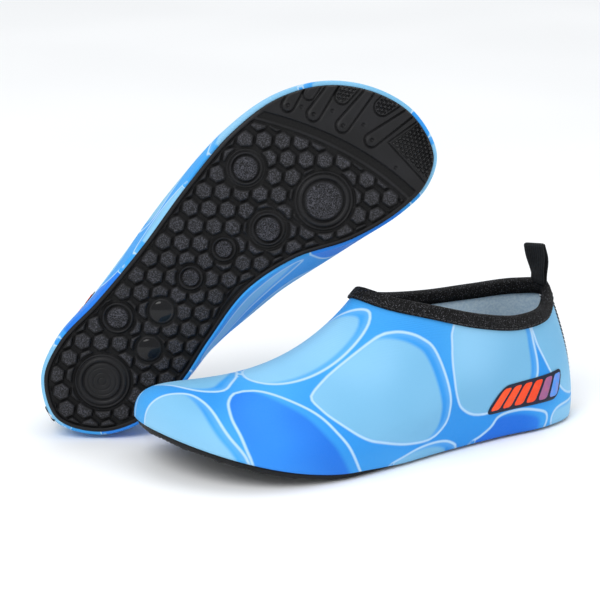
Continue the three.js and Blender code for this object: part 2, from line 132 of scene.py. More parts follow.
def meridianTable():
    shares = np.arange(columns) / columns
    foot = closedCurve(outlineKnots, shares)
    heelU = int(np.argmin(closedCurve(outlineKnots, np.arange(coarse) / coarse)[:, 0])) / coarse
    collarX = closedCurve(topline(), np.arange(400) / 400)[:, 0]
    collarHeel = int(np.argmin(collarX)) / 400
    bigToe = shares <= heelU
    share = np.where(bigToe, shares / heelU, (1 - shares) / (1 - heelU))
    collarShare = np.where(bigToe, share * collarHeel, 1 - share * (1 - collarHeel))
    top = closedCurve(topline(), collarShare)
    reachOut = columns // 80
    tangent = np.roll(foot, -reachOut, 0) - np.roll(foot, reachOut, 0)
    tangent /= np.linalg.norm(tangent, axis=1, keepdims=True)
    width = columns // 28
    window = np.hanning(2 * width + 1)
    window /= window.sum()

    def key(name):
        raw = np.interp(share, sideShape["at"], sideShape[name])
        padded = np.concatenate([raw[-width:], raw, raw[:width]])
        return np.convolve(padded, window, "valid")

    arch = bigToe * last["archFill"] * np.exp(-(((foot[:, 0] / length - 0.5) / 0.17) ** 2))
    out = key("out") + arch
    start = np.column_stack([foot, springAt(foot[:, 0]) + last["soleTop"] + last["gap"]])
    first = start + np.column_stack([tangent[:, 1] * out, -tangent[:, 0] * out, key("rise")])
    side = np.sign(np.round(top[:, 1], 6))
    second = top + np.column_stack([key("forward"), side * key("sideways"), -key("down")])
    return np.stack([start, first, second, top]), heelU


meridians, heelU = meridianTable()


def surfaceAt(u, v):
    # point of the upper's outer face; u runs round from the toe past the big toe side, v goes up
    u, v = np.broadcast_arrays(np.asarray(u, float) % 1, np.asarray(v, float))
    at = u * columns
    low = np.floor(at).astype(int) % columns
    part = (at - np.floor(at))[..., None]
    p = meridians[:, low] * (1 - part) + meridians[:, (low + 1) % columns] * part
    v = v[..., None]
    return (p[0] * (1 - v) ** 3 + 3 * p[1] * v * (1 - v) ** 2 + 3 * p[2] * v**2 * (1 - v) + p[3] * v**3)


def normalAt(u, v):
    u, v = np.broadcast_arrays(np.asarray(u, float), np.asarray(v, float))
    along = surfaceAt(u + 0.006, v) - surfaceAt(u - 0.006, v)
    up = surfaceAt(u, np.minimum(1, v + 0.02)) - surfaceAt(u, np.maximum(0, v - 0.02))
    n = np.cross(along, up)
    return n / np.linalg.norm(n, axis=-1, keepdims=True)


def onUpper(u, v, lift):
    return surfaceAt(u, v) + normalAt(u, v) * np.asarray(lift, float)[..., None]


# how the two shoes are set out, in degrees
pairSettings = {"leftTurn": 212, "rightRoll": 44.6, "rightLean": 5, "rightTurn": 2}


def turnedBy(degrees):
    turn = math.radians(degrees)
    return np.array([[math.cos(turn), math.sin(turn), 0], [-math.sin(turn), math.cos(turn), 0], [0, 0, 1]])


def rightAxes():
    roll, lean = math.radians(pairSettings["rightRoll"]), math.radians(pairSettings["rightLean"])
    toeward = np.array([math.cos(roll), math.sin(roll) * math.sin(lean), math.sin(roll) * math.cos(lean)])
    crown = np.array([0, math.cos(lean), -math.sin(lean)])
    return np.stack([toeward, np.cross(crown, toeward), crown]) @ turnedBy(pairSettings["rightTurn"])


def shoePlace(side):
    # axes and origin that lay the shared shape over the frame's own board
    axes = turnedBy(pairSettings["leftTurn"]) if side == "left" else rightAxes()
    flip = np.array([1, -1 if side == "left" else 1, 1])
    low, high = (np.array(corner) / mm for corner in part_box(side + "_lasting_board"))
    board = (boardRing() * flip) @ axes
    return axes, (low + high) / 2 - (board.min(0) + board.max(0)) / 2, flip


boardSettings = {"inset": 3.2, "lift": 0.3, "thick": 1.2, "steps": 240, "rows": 110, "cols": 34, "round": 0.4}


def insetRing(count, inset):
    ring = closedCurve(outlineKnots, np.arange(count) / count)
    tangent = np.roll(ring, -1, 0) - np.roll(ring, 1, 0)
    tangent /= np.linalg.norm(tangent, axis=1, keepdims=True)
    return ring + np.column_stack([-tangent[:, 1], tangent[:, 0]]) * inset


def boardRing():
    s = boardSettings
    ring = insetRing(s["steps"], s["inset"])
    low = springAt(ring[:, 0]) + last["soleTop"] + s["lift"]
    return np.vstack([np.column_stack([ring, low]), np.column_stack([ring, low + s["thick"]])])


places = {side: shoePlace(side) for side in ("left", "right")}
bodies = {"left": "left_shoe", "right": "right_shoe"}


def toWorld(points, side):
    axes, origin, flip = places[side]
    return (np.asarray(points, float) * flip) @ axes + origin


def enclosed(points, blocks):
    # volume inside closed faces, less than 0 when they face inwards
    total = 0.0
    for block in blocks:
        first = points[block[:, 0]]
        for k in range(1, block.shape[1] - 1):
            total += (first * np.cross(points[block[:, k]], points[block[:, k + 1]])).sum()
    return total / 6


def makeMesh(name, points, blocks, side, material, attributes=None, uv=None):
    # blocks: a list of index arrays, each with three or four corners to a face
    world = toWorld(points, side) * mm
    if enclosed(world, blocks) < 0:
        blocks = [block[:, ::-1] for block in blocks]
    mesh = bpy.data.meshes.new(name)
    loops = np.concatenate([block.ravel() for block in blocks])
    sizes = np.concatenate([np.full(len(block), block.shape[1]) for block in blocks])
    mesh.vertices.add(len(world))
    mesh.vertices.foreach_set("co", world.ravel())
    mesh.loops.add(len(loops))
    mesh.loops.foreach_set("vertex_index", loops.astype(np.int32))
    mesh.polygons.add(len(sizes))
    mesh.polygons.foreach_set("loop_start", (np.cumsum(sizes) - sizes).astype(np.int32))
    mesh.update(calc_edges=True)
    mesh.polygons.foreach_set("use_smooth", np.ones(len(sizes), bool))
    for key, values in (attributes or {}).items():
        layer = mesh.attributes.new(key, "FLOAT", "POINT")
        layer.data.foreach_set("value", np.asarray(values, np.float32))
    if uv is not None:
        layer = mesh.uv_layers.new(name="cloth")
        layer.data.foreach_set("uv", np.asarray(uv, np.float32)[loops].ravel())
    mesh.materials.append(material)
    mesh.validate()
    piece = bpy.data.objects.new(name, mesh)
    bpy.context.scene.collection.objects.link(piece)
    return piece


def finishPiece(piece, body, slotName, *nodes):
    if nodes:
        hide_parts(*nodes)
    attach(piece, body)
    return piece


def gridQuads(rows, cols, wrap=True, start=0):
    # quads of a rows x cols grid of points, joined round when wrap is set
    row = np.arange(rows - 1)[:, None] * cols
    here = np.arange(cols if wrap else cols - 1)[None, :]
    ahead = (here + 1) % cols
    beyond = row + cols
    return np.stack([row + here, row + ahead, beyond + ahead, beyond + here], -1).reshape(-1, 4) + start


def edgeLoop(rows, cols):
    # the points round the edge of a grid, in order
    count = rows * cols
    return np.concatenate([np.arange(cols), np.arange(2, rows) * cols - 1,
                           count - 1 - np.arange(cols), np.arange(rows - 2, 0, -1) * cols])


def wallBetween(near, far):
    # quads between two closed runs of points
    return np.stack([near, np.roll(near, -1), np.roll(far, -1), far], -1)


def slabFaces(rows, cols):
    # two grids of the same size, one after the other, closed by a wall round their edge
    count = rows * cols
    loop = edgeLoop(rows, cols)
    return [np.vstack([gridQuads(rows, cols, False)[:, ::-1], gridQuads(rows, cols, False, count),
                       wallBetween(loop, loop + count)])]


def srgb(r, g, b):
    def linear(c):
        c /= 255
        return c / 12.92 if c <= 0.04045 else ((c + 0.055) / 1.055) ** 2.4
    return (linear(r), linear(g), linear(b), 1)


class Nodes:
    # short way to add and join shader nodes
    def __init__(self, name):
        self.material = bpy.data.materials.new(name)
        self.material.use_nodes = True
        self.tree = self.material.node_tree
        self.shader = self.tree.nodes["Principled BSDF"]

    def set(self, **values):
        for key, value in values.items():
            self.shader.inputs[key.replace("_", " ")].default_value = value
        return self

    def add(self, kind, inputs=None, **settings):
        node = self.tree.nodes.new(kind)
        for key, value in settings.items():
            setattr(node, key, value)
        for key, value in (inputs or {}).items():
            if isinstance(value, bpy.types.NodeSocket):
                self.tree.links.new(value, node.inputs[key])
            else:
                node.inputs[key].default_value = value
        return node

    def attribute(self, name):
        return self.add("ShaderNodeAttribute", attribute_name=name).outputs["Fac"]

    def math(self, operation, a, b=0.0):
        return self.add("ShaderNodeMath", {0: a, 1: b}, operation=operation).outputs[0]

    def ramp(self, value, low, high, outLow=0.0, outHigh=1.0):
        node = self.add("ShaderNodeMapRange", {"Value": value, "From Min": low, "From Max": high,
                                               "To Min": outLow, "To Max": outHigh})
        node.interpolation_type = "SMOOTHSTEP"
        return node.outputs["Result"]

    def mix(self, amount, a, b):
        node = self.add("ShaderNodeMix", data_type="RGBA")
        for socket, value in ((node.inputs[0], amount), (node.inputs[6], a), (node.inputs[7], b)):
            if isinstance(value, bpy.types.NodeSocket):
                self.tree.links.new(value, socket)
            else:
                socket.default_value = value
        return node.outputs[2]

    def noise(self, scale, detail=2, roughness=0.5, distortion=0.0):
        inputs = {"Vector": self.place(), "Scale": scale, "Detail": detail, "Roughness": roughness}
        inputs["Distortion"] = distortion
        return self.add("ShaderNodeTexNoise", inputs).outputs["Fac"]

    def place(self):
        # the piece's own coordinates, in metres
        return self.add("ShaderNodeTexCoord").outputs["Object"]

    def ribs(self, pitch, direction="X", distortion=0.0):
        # rounded ridges that follow the cloth, pitch apart in millimetres
        cloth = self.add("ShaderNodeUVMap", uv_map="cloth").outputs["UV"]
        return self.add("ShaderNodeTexWave", {"Vector": cloth, "Scale": math.pi / 10 / pitch,
                                              "Distortion": distortion, "Detail": 1.0},
                        bands_direction=direction).outputs["Fac"]

    def bump(self, height, distance, strength=1.0, under=None):
        # fine relief, over another one where under is given
        inputs = {"Height": height, "Distance": distance, "Strength": strength}
        if under is not None:
            inputs["Normal"] = under
        return self.add("ShaderNodeBump", inputs).outputs["Normal"]

    def join(self, colour, rough=None, normal=None):
        for key, value in (("Base Color", colour), ("Roughness", rough), ("Normal", normal)):
            if value is not None:
                self.tree.links.new(value, self.shader.inputs[key])
        return self.material


# the print: light and dark pebbles on a ground, with pale lines and a haze round the light ones
printColours = {
    "ground": (66, 164, 234), "groundDeep": (42, 144, 226), "light": (138, 197, 234),
    "lightDeep": (116, 180, 219), "dark": (46, 138, 236), "darkDeep": (24, 110, 216),
    "line": (176, 212, 240), "haze": (104, 176, 234),
}


def printedKnit():
    n = Nodes("printed knit").set(Specular_IOR_Level=0.22, Sheen_Weight=0.04, Sheen_Roughness=0.5)
    c = {key: srgb(*value) for key, value in printColours.items()}
    light, dark = n.attribute("lightEdge"), n.attribute("darkEdge")
    lightFill, darkFill = n.attribute("lightFill"), n.attribute("darkFill")
    drift = n.noise(16, 1)
    ground = n.mix(n.ramp(drift, 0.35, 0.68), c["ground"], c["groundDeep"])
    pale = n.mix(n.ramp(drift, 0.3, 0.7), c["light"], c["lightDeep"])
    deep = n.mix(n.ramp(drift, 0.34, 0.66), c["dark"], c["darkDeep"])
    haze = n.math("MULTIPLY", n.ramp(light, -4.5, -0.9), n.ramp(light, 0.4, -0.2))
    colour = n.mix(n.math("MULTIPLY", haze, 0.5), ground, c["haze"])
    colour = n.mix(n.ramp(lightFill, 0.9, -0.7), colour, pale)
    colour = n.mix(n.ramp(darkFill, 1.2, -1.0), colour, deep)
    edge = n.math("MINIMUM", n.math("ABSOLUTE", light), n.math("ABSOLUTE", dark))
    colour = n.mix(n.ramp(edge, 1.2, 0.15), colour, c["line"])
    fine = n.ribs(0.62, "X", 0.4)
    cross = n.ribs(0.5, "Y", 0.4)
    loops = n.math("MULTIPLY", fine, cross)
    shade = n.add("ShaderNodeHueSaturation", {"Color": colour, "Value": n.ramp(loops, 0, 1, 0.95, 1.03)})
    slub = n.noise(900, 2)
    rough = n.ramp(slub, 0.3, 0.7, 0.55, 0.7)
    normal = n.bump(loops, 0.00012, 0.5, n.bump(slub, 0.0001, 0.25))
    return n.join(shade.outputs[0], rough, normal)


def liningKnit():
    n = Nodes("lining knit").set(Specular_IOR_Level=0.2, Sheen_Weight=0.25, Sheen_Roughness=0.6)
    pile = n.noise(700, 3, 0.6)
    colour = n.mix(n.ramp(pile, 0.3, 0.72), srgb(184, 212, 232), srgb(214, 234, 246))
    ribs = n.ribs(1.1, "X", 1.2)
    normal = n.bump(ribs, 0.00015, 0.35, n.bump(pile, 0.0002, 0.4))
    return n.join(colour, n.ramp(pile, 0.2, 0.8, 0.78, 0.95), normal)


def stretchEdging():
    n = Nodes("stretch edging").set(Specular_IOR_Level=0.16)
    fleck = n.add("ShaderNodeTexVoronoi", {"Vector": n.place(), "Scale": 1500.0}).outputs["Distance"]
    patch = n.noise(1400, 2, 0.6)
    spark = n.math("MULTIPLY", n.ramp(fleck, 0.42, 0.12), n.ramp(patch, 0.42, 0.6))
    colour = n.mix(spark, srgb(12, 12, 13), srgb(112, 112, 118))
    weave = n.math("MULTIPLY", n.ribs(0.9, "X"), n.ribs(0.8, "Y"))
    normal = n.bump(weave, 0.0003, 0.8, n.bump(patch, 0.0004, 0.8))
    return n.join(colour, n.ramp(patch, 0.3, 0.7, 0.62, 0.86), normal)


def paleTape():
    n = Nodes("pale tape").set(Specular_IOR_Level=0.25)
    weave = n.math("MULTIPLY", n.ribs(0.8, "X"), n.ribs(0.7, "Y"))
    fibre = n.noise(1200, 3, 0.6)
    colour = n.mix(n.ramp(weave, 0, 1), srgb(198, 204, 210), srgb(232, 236, 240))
    return n.join(colour, n.ramp(fibre, 0.2, 0.8, 0.7, 0.9),
                  n.bump(weave, 0.0002, 0.6, n.bump(fibre, 0.0002, 0.4)))


def tabWebbing():
    n = Nodes("tab webbing").set(Specular_IOR_Level=0.2, Sheen_Weight=0.02, Sheen_Roughness=0.45)
    weft, warp = n.ribs(0.75, "Y", 0.3), n.ribs(1.3, "X")
    fibre = n.noise(1500, 3, 0.6)
    weave = n.math("ADD", n.math("MULTIPLY", weft, warp), n.math("MULTIPLY", fibre, 0.25))
    colour = n.mix(n.ramp(weave, 0.1, 1.1), srgb(13, 14, 16), srgb(34, 36, 40))
    return n.join(colour, n.ramp(fibre, 0.3, 0.7, 0.55, 0.75), n.bump(weave, 0.00025, 0.8))


def treadRubber():
    n = Nodes("tread rubber").set(Specular_IOR_Level=0.26)
    grain, gloss, maze, gap = (n.attribute(key) for key in ("grain", "gloss", "maze", "gap"))
    speck = n.noise(1500, 3, 0.65)
    broad = n.noise(60, 2, 0.5)
    pattern = n.noise(420, 1, 0.4, 1.6)
    furrow = n.ramp(n.math("PINGPONG", n.math("MULTIPLY", pattern, 5.0), 0.5), 0.14, 0.36)
    dust = n.math("MULTIPLY", grain, n.ramp(speck, 0.46, 0.62))
    colour = n.mix(n.ramp(broad, 0.3, 0.7), srgb(12, 12, 14), srgb(19, 19, 22))
    colour = n.mix(n.math("MULTIPLY", dust, 0.6), colour, srgb(82, 82, 90))
    colour = n.mix(n.math("MULTIPLY", maze, n.math("MULTIPLY", furrow, 0.6)), colour, srgb(82, 82, 90))
    # painted shade: the low gaps between studs, pods and bars are darkened almost to black
    colour = n.mix(n.math("MULTIPLY", gap, 0.9), colour, srgb(3, 3, 4))
    height = n.math("ADD", n.math("MULTIPLY", grain, speck),
                    n.math("ADD", n.math("MULTIPLY", maze, furrow), n.math("MULTIPLY", broad, 0.15)))
    rough = n.math("SUBTRACT", n.ramp(speck, 0.3, 0.7, 0.44, 0.6), n.math("MULTIPLY", gloss, 0.38))
    rough = n.math("ADD", rough, n.math("MULTIPLY", gap, 0.2))
    return n.join(colour, rough, n.bump(height, 0.0005, 0.9))


def insoleCover():
    n = Nodes("insole cover").set(Specular_IOR_Level=0.25, Sheen_Weight=0.15, Sheen_Roughness=0.5)
    weave = n.math("MULTIPLY", n.ribs(0.8, "X"), n.ribs(0.8, "Y"))
    fibre = n.noise(1100, 3, 0.6)
    worn = n.noise(28, 2, 0.5)
    colour = n.mix(n.ramp(weave, 0, 1), srgb(36, 40, 46), srgb(66, 71, 79))
    colour = n.mix(n.math("MULTIPLY", n.ramp(worn, 0.45, 0.75), 0.25), colour, srgb(92, 98, 106))
    return n.join(colour, n.ramp(fibre, 0.2, 0.8, 0.75, 0.95),
                  n.bump(weave, 0.0003, 0.6, n.bump(fibre, 0.0002, 0.4)))


def boardFelt():
    n = Nodes("board felt").set(Specular_IOR_Level=0.2)
    fibre = n.noise(500, 4, 0.7, 1.0)
    colour = n.mix(n.ramp(fibre, 0.3, 0.7), srgb(126, 130, 136), srgb(168, 171, 176))
    return n.join(colour, n.ramp(fibre, 0.2, 0.8, 0.85, 0.98), n.bump(fibre, 0.0004, 0.7))


def thread(name, low, high):
    n = Nodes(name).set(Specular_IOR_Level=0.4, Sheen_Weight=0.1)
    twist = n.noise(2200, 2, 0.5, 0.8)
    colour = n.mix(n.ramp(twist, 0.3, 0.7), srgb(*low), srgb(*high))
    return n.join(colour, n.ramp(twist, 0.2, 0.8, 0.5, 0.7), n.bump(twist, 0.0002, 0.8))


def emblemInk():
    n = Nodes("emblem ink").set(Specular_IOR_Level=0.3, Coat_Weight=0.08, Coat_Roughness=0.25)
    along, skin = n.attribute("along"), n.noise(260, 2, 0.5)
    warm = n.mix(n.ramp(along, 0.0, 0.5), srgb(238, 72, 16), srgb(224, 56, 20))
    colour = n.mix(n.ramp(along, 0.5, 0.76), warm, srgb(104, 92, 150))
    colour = n.mix(n.ramp(along, 0.74, 0.92), colour, srgb(70, 140, 224))
    colour = n.mix(n.math("MULTIPLY", n.ramp(skin, 0.4, 0.7), 0.12), colour, srgb(255, 120, 70))
    return n.join(colour, n.ramp(skin, 0.3, 0.7, 0.36, 0.5), n.bump(skin, 0.0001, 0.4))


def emblemBack():
    n = Nodes("emblem backing").set(Specular_IOR_Level=0.25, Coat_Weight=0.05, Coat_Roughness=0.3)
    skin = n.noise(300, 3, 0.5)
    colour = n.mix(n.ramp(skin, 0.3, 0.7), srgb(12, 18, 36), srgb(20, 29, 54))
    return n.join(colour, n.ramp(skin, 0.3, 0.7, 0.42, 0.58), n.bump(skin, 0.0001, 0.4))


finishes = {
    "print": printedKnit(), "lining": liningKnit(), "edging": stretchEdging(), "tape": paleTape(),
    "webbing": tabWebbing(), "rubber": treadRubber(), "insole": insoleCover(), "board": boardFelt(),
    "whiteThread": thread("white thread", (206, 208, 212), (244, 245, 247)),
    "blackThread": thread("black thread", (14, 14, 16), (42, 42, 46)),
    "ink": emblemInk(), "inkBack": emblemBack(),
}
print("materials made")


# printed upper: steps round and up, fabric thickness, (inset, lift) of the rows that turn under the foot
upperSettings = {
    "around": 400, "up": 72, "thick": 1.2, "turnUnder": [(2.8, 0), (1.1, 0), (0.25, 0.3)],
    "wrapDown": 2.2, "wrapEnds": (0.5, 0.68),
    "fillShift": (0.0085, -0.02), "roundLength": 600, "sideLength": 100,
}
# pebbles of the print as (round the shoe, up from the sole); a minus sign is the little toe side
lightPebbles = [
    [(0.039, 0.25), (0.001, 0.33), (-0.022, 0.40), (-0.028, 0.47), (-0.016, 0.54), (0.0, 0.59),
     (0.03, 0.6), (0.06, 0.52), (0.075, 0.4), (0.065, 0.29)],
    [(-0.004, 0.0), (-0.008, 0.16), (-0.013, 0.26), (-0.022, 0.33), (-0.037, 0.335), (-0.058, 0.29),
     (-0.087, 0.16), (-0.108, 0.03), (-0.11, -0.1), (-0.06, -0.15), (-0.01, -0.1)],
    [(0.012, 0.625), (-0.022, 0.6), (-0.044, 0.635), (-0.057, 0.71), (-0.062, 0.79), (-0.062, 0.86),
     (-0.058, 0.92), (-0.046, 0.955), (-0.015, 0.95), (0.02, 0.9), (0.05, 0.82), (0.058, 0.74),
     (0.042, 0.67)],
    [(-0.086, 0.625), (-0.078, 0.68), (-0.071, 0.76), (-0.073, 0.84), (-0.082, 0.9), (-0.1, 0.92),
     (-0.123, 0.922), (-0.15, 0.91), (-0.178, 0.88), (-0.213, 0.79), (-0.25, 0.63), (-0.283, 0.413),
     (-0.297, 0.22), (-0.289, 0.12), (-0.26, 0.135), (-0.214, 0.262), (-0.161, 0.438), (-0.115, 0.55)],
    [(-0.195, 0.96), (-0.212, 0.875), (-0.247, 0.70), (-0.281, 0.50), (-0.311, 0.312), (-0.334, 0.215),
     (-0.357, 0.195), (-0.382, 0.22), (-0.397, 0.29), (-0.404, 0.425), (-0.4, 0.562), (-0.385, 0.763),
     (-0.368, 0.94), (-0.33, 1.05), (-0.25, 1.08)],
    [(-0.375, 0.97), (-0.388, 0.80), (-0.411, 0.588), (-0.433, 0.363), (-0.455, 0.19), (-0.49, 0.14),
     (-0.53, 0.20), (-0.56, 0.45), (-0.55, 0.75), (-0.53, 0.96), (-0.45, 1.06)],
    [(-0.243, -0.03), (-0.26, 0.025), (-0.277, 0.062), (-0.297, 0.066), (-0.312, 0.04), (-0.322, -0.02),
     (-0.31, -0.1), (-0.26, -0.1)],
    [(-0.435, -0.05), (-0.432, 0.025), (-0.438, 0.09), (-0.457, 0.11), (-0.5, 0.09), (-0.525, 0.02),
     (-0.5, -0.08)],
    [(0.022, 0.02), (0.03, 0.16), (0.048, 0.2), (0.072, 0.14), (0.08, 0.0), (0.06, -0.1), (0.032, -0.08)],
    [(0.2, 0.04), (0.212, 0.13), (0.25, 0.2), (0.3, 0.2), (0.332, 0.11), (0.33, 0.03), (0.3, 0.045),
     (0.25, 0.05)],
    [(0.09, 0.62), (0.08, 0.75), (0.1, 0.9), (0.15, 0.92), (0.205, 0.8), (0.25, 0.6), (0.262, 0.42),
     (0.24, 0.34), (0.18, 0.38), (0.12, 0.5)],
    [(0.22, 1.03), (0.25, 0.82), (0.29, 0.57), (0.32, 0.37), (0.36, 0.26), (0.4, 0.28), (0.415, 0.45),
     (0.4, 0.7), (0.37, 0.96), (0.3, 1.08)],
]
darkPebbles = [
    [(-0.046, 0.43), (-0.036, 0.5), (-0.04, 0.55), (-0.058, 0.575), (-0.097, 0.55), (-0.138, 0.462),
     (-0.182, 0.275), (-0.209, 0.04), (-0.215, -0.12), (-0.16, -0.15), (-0.118, -0.08), (-0.111, 0.04),
     (-0.095, 0.19), (-0.068, 0.33)],
    [(-0.336, -0.03), (-0.35, 0.015), (-0.361, 0.07), (-0.367, 0.14), (-0.39, 0.16), (-0.41, 0.13),
     (-0.424, 0.08), (-0.425, 0.0), (-0.415, -0.08), (-0.37, -0.1)],
    [(0.092, -0.1), (0.1, 0.12), (0.115, 0.25), (0.14, 0.3), (0.168, 0.24), (0.186, 0.1), (0.19, -0.1)],
    [(0.345, -0.06), (0.352, 0.08), (0.375, 0.17), (0.41, 0.17), (0.44, 0.1), (0.448, 0.0), (0.43, -0.1)],
]


def insidePolygon(corners, x, y):
    inside = np.zeros(x.shape, bool)
    for (ax, ay), (bx, by) in zip(corners, np.roll(corners, -1, 0)):
        crosses = (ay > y) != (by > y)
        with np.errstate(divide="ignore", invalid="ignore"):
            inside ^= crosses & (x < (bx - ax) * (y - ay) / (by - ay) + ax)
    return inside


def distanceToLine(points, line, closed=True):
    # shortest distance from each point to a run of straight pieces
    best = np.full(len(points), 1e9)
    ends = np.roll(line, -1, 0) if closed else line[1:]
    for a, b in zip(line if closed else line[:-1], ends):
        along = b - a
        t = np.clip(((points - a) @ along) / max(float(along @ along), 1e-12), 0, 1)
        best = np.minimum(best, np.linalg.norm(points - a - t[:, None] * along, axis=1))
    return best


def pebbleDistance(points, u, v, knots, shift=(0, 0)):
    # millimetres to a pebble's edge along the surface, less than 0 inside it
    stretch = np.array([upperSettings["roundLength"], upperSettings["sideLength"]])
    ring = closedCurve(np.array(knots, float) * stretch, np.arange(72) / 72) / stretch + np.array(shift)
    line = surfaceAt(ring[:, 0], ring[:, 1])
    centre = ring[:, 0].mean()
    around = (u - centre + 0.5) % 1 - 0.5 + centre
    nearby = np.linalg.norm(points - line.mean(0), axis=1) < np.ptp(line, axis=0).max() + 30
    result = np.full(len(points), 40.0)
    distance = distanceToLine(points[nearby], line)
    inside = insidePolygon(ring, around[nearby], v[nearby])
    result[nearby] = np.where(inside, -distance, distance)
    return result


def printAttributes(points, u, v, side):
    # each shoe is cut from its own part of the cloth: the right one has a light pebble at its outer toe
    swapped = darkPebbles[:1] if side == "right" else []
    light, dark = lightPebbles + swapped, darkPebbles[len(swapped):]
    found = {}
    for name, pebbles in (("light", light), ("dark", dark)):
        edge = np.full(len(points), 40.0)
        fill = np.full(len(points), 40.0)
        for knots in pebbles:
            own = pebbleDistance(points, u, v, knots)
            shifted = pebbleDistance(points, u, v, knots, upperSettings["fillShift"])
            edge = np.minimum(edge, own)
            fill = np.minimum(fill, np.maximum(own + 0.8, (shifted + 0.6) * 0.6))
        found[name + "Edge"] = edge
        found[name + "Fill"] = fill
    return found


def wrapDown(x):
    # how far the fabric comes down over the rubber's edge: most at the heel, hardly at all at the toe
    start, stop = upperSettings["wrapEnds"]
    return upperSettings["wrapDown"] * (1 - smooth((x / length - start) / (stop - start)))


def shellMesh(around, up, near, far, turnUnder=()):
    # closed shell between two depths under the outer face; turnUnder adds rows that run under the foot
    u = np.arange(around) / around
    v = np.linspace(0, 1, up + 1)
    layers = []
    for depth in (near, far):
        rows = []
        for inset, lift in turnUnder:
            ring = insetRing(around, inset + depth * (0.9 if lift else 1))
            low = springAt(ring[:, 0]) + last["soleTop"] - wrapDown(ring[:, 0])
            rows.append(np.column_stack([ring, low + lift + depth * (1 if not lift else 0.6)]))
        uu, vv = np.meshgrid(u, v)
        normal = normalAt(uu, vv)
        normal[0, :, 2] = 0
        normal[0] /= np.linalg.norm(normal[0], axis=-1, keepdims=True)
        body = surfaceAt(uu, vv) - normal * depth
        layers.append(np.vstack([*rows, body.reshape(-1, 3)]))
    rows = up + 1 + len(turnUnder)
    count = rows * around
    foot = np.arange(around)
    collar = foot + count - around
    faces = [gridQuads(rows, around), gridQuads(rows, around, start=count)[:, ::-1],
             wallBetween(foot, foot + count)[:, ::-1], wallBetween(collar, collar + count)]
    uu = np.tile(u, rows)
    vv = np.repeat(np.concatenate([np.zeros(len(turnUnder)), v]), around)
    return np.vstack(layers), [np.vstack(faces)], np.tile(uu, 2), np.tile(vv, 2)


def clothUv(u, v):
    return np.column_stack([u * upperSettings["roundLength"], v * upperSettings["sideLength"]])


def upperPiece(side):
    s = upperSettings
    points, faces, u, v = shellMesh(s["around"], s["up"], 0, s["thick"], s["turnUnder"])
    half = len(points) // 2  # the inner face takes the print of the outer one
    outer = printAttributes(points[:half], u[:half], v[:half], side)
    marks = {key: np.tile(values, 2) for key, values in outer.items()}
    piece = makeMesh(side + "_printed_upper", points, faces, side, finishes["print"], marks, clothUv(u, v))
    return finishPiece(piece, bodies[side], "printed_fabric", side + "_upper")


for side in places:
    upperPiece(side)
print("uppers made")


# knit lining: depths of its two faces under the upper's outer face
liningSettings = {"around": 200, "up": 36, "near": 1.5, "far": 2.4}


def liningPiece(side):
    s = liningSettings
    points, faces, u, v = shellMesh(s["around"], s["up"], s["near"], s["far"])
    piece = makeMesh(side + "_knit_lining", points, faces, side, finishes["lining"], None, clothUv(u, v))
    return finishPiece(piece, bodies[side], "lining_fabric", side + "_lining")


for side in places:
    liningPiece(side)
print("linings made")


# studded rubber outsole; the right shoe shows its tread, so its grid is the fine one
treadSettings = {
    "studHigh": 1.8, "studFlats": 8.7, "alongStep": 11.35, "acrossStep": 7.86, "turn": -6.5, "startY": 14.9,
    "band": 2.6, "toeBand": 0.9, "bandHigh": 1.15, "bevel": 0.6, "fine": (620, 216), "plain": (260, 90),
    "channelAlong": 0.846, "channelSlant": 0.325, "channelBow": 0.0033, "channelWide": 1.5,
    "ridgeAt": 3.0, "ridgeHalf": 1.7, "ridgeHigh": 0.85, "toeHigh": 1.4, "archHigh": 0.75,
    "podRoom": 1.25, "channelRoom": 5.2, "archRoom": 1.2, "bandRoom": 0.5, "bumpPitch": 2.3,
    "seed": 7, "inset": 1.9, "even": 0.65, "edgeBulge": 0.25,
}
# round pods: place along and across, radius, and what is on them
pods = [
    {"at": (33.5, 0.9), "r": 14.7, "kind": "heel"}, {"at": (63.3, 5.9), "r": 6.8, "kind": "dome"},
    {"at": (82.3, -3.6), "r": 6.8, "kind": "dome"}, {"at": (63.5, -17.3), "r": 8.4, "kind": "rim"},
    {"at": (105.7, -5.5), "r": 6.6, "kind": "rim"}, {"at": (128.7, -4.1), "r": 6.6, "kind": "rim"},
    {"at": (152.5, 4.6), "r": 10, "kind": "rings"}, {"at": (166.6, -26), "r": 10, "kind": "rings"},
    {"at": (183.2, 14.6), "r": 15.3, "kind": "rings"},
]
# bars of the toe zone: round root, tip at the toe edge, half width at each
toeBars = [
    {"root": (204.5, -33.4), "tip": (218, -36.6), "wide": (3.6, 3.0)},
    {"root": (210.6, -20.6), "tip": (238, -25.5), "wide": (3.9, 2.3)},
    {"root": (217.1, -5.6), "tip": (246, -8.4), "wide": (3.9, 2.3)},
    {"root": (222.4, 10.6), "tip": (250, 16.1), "wide": (3.9, 2.4)},
]
toePads = [
    {"root": (227.5, -16.2), "tip": (243, -18.2), "wide": (4.2, 5.6), "bumps": True},
    {"root": (238.2, 2.9), "tip": (250, 4.6), "wide": (4.6, 5.6), "bumps": True},
    {"root": (216.4, -29.6), "tip": (228, -32.0), "wide": (3.4, 3.6), "bumps": False},
]
bigPad = {"corner": (227.4, 17.6), "tipward": (246, 21.2), "sideward": (226.4, 46)}
toeDots = [(208.8, -27.8), (218.5, -14.9), (224.8, 1.8), (221.1, 29.7)]
archLine = [(84, 27), (93, 22), (106, 17), (119, 14.5), (134, 20.5), (150, 25.5), (167, 33.5)]


def channelAt(y):
    # middle of the flex channel, which bows back on the little toe side
    s = treadSettings
    return length * s["channelAlong"] + s["channelSlant"] * y - s["channelBow"] * y * y


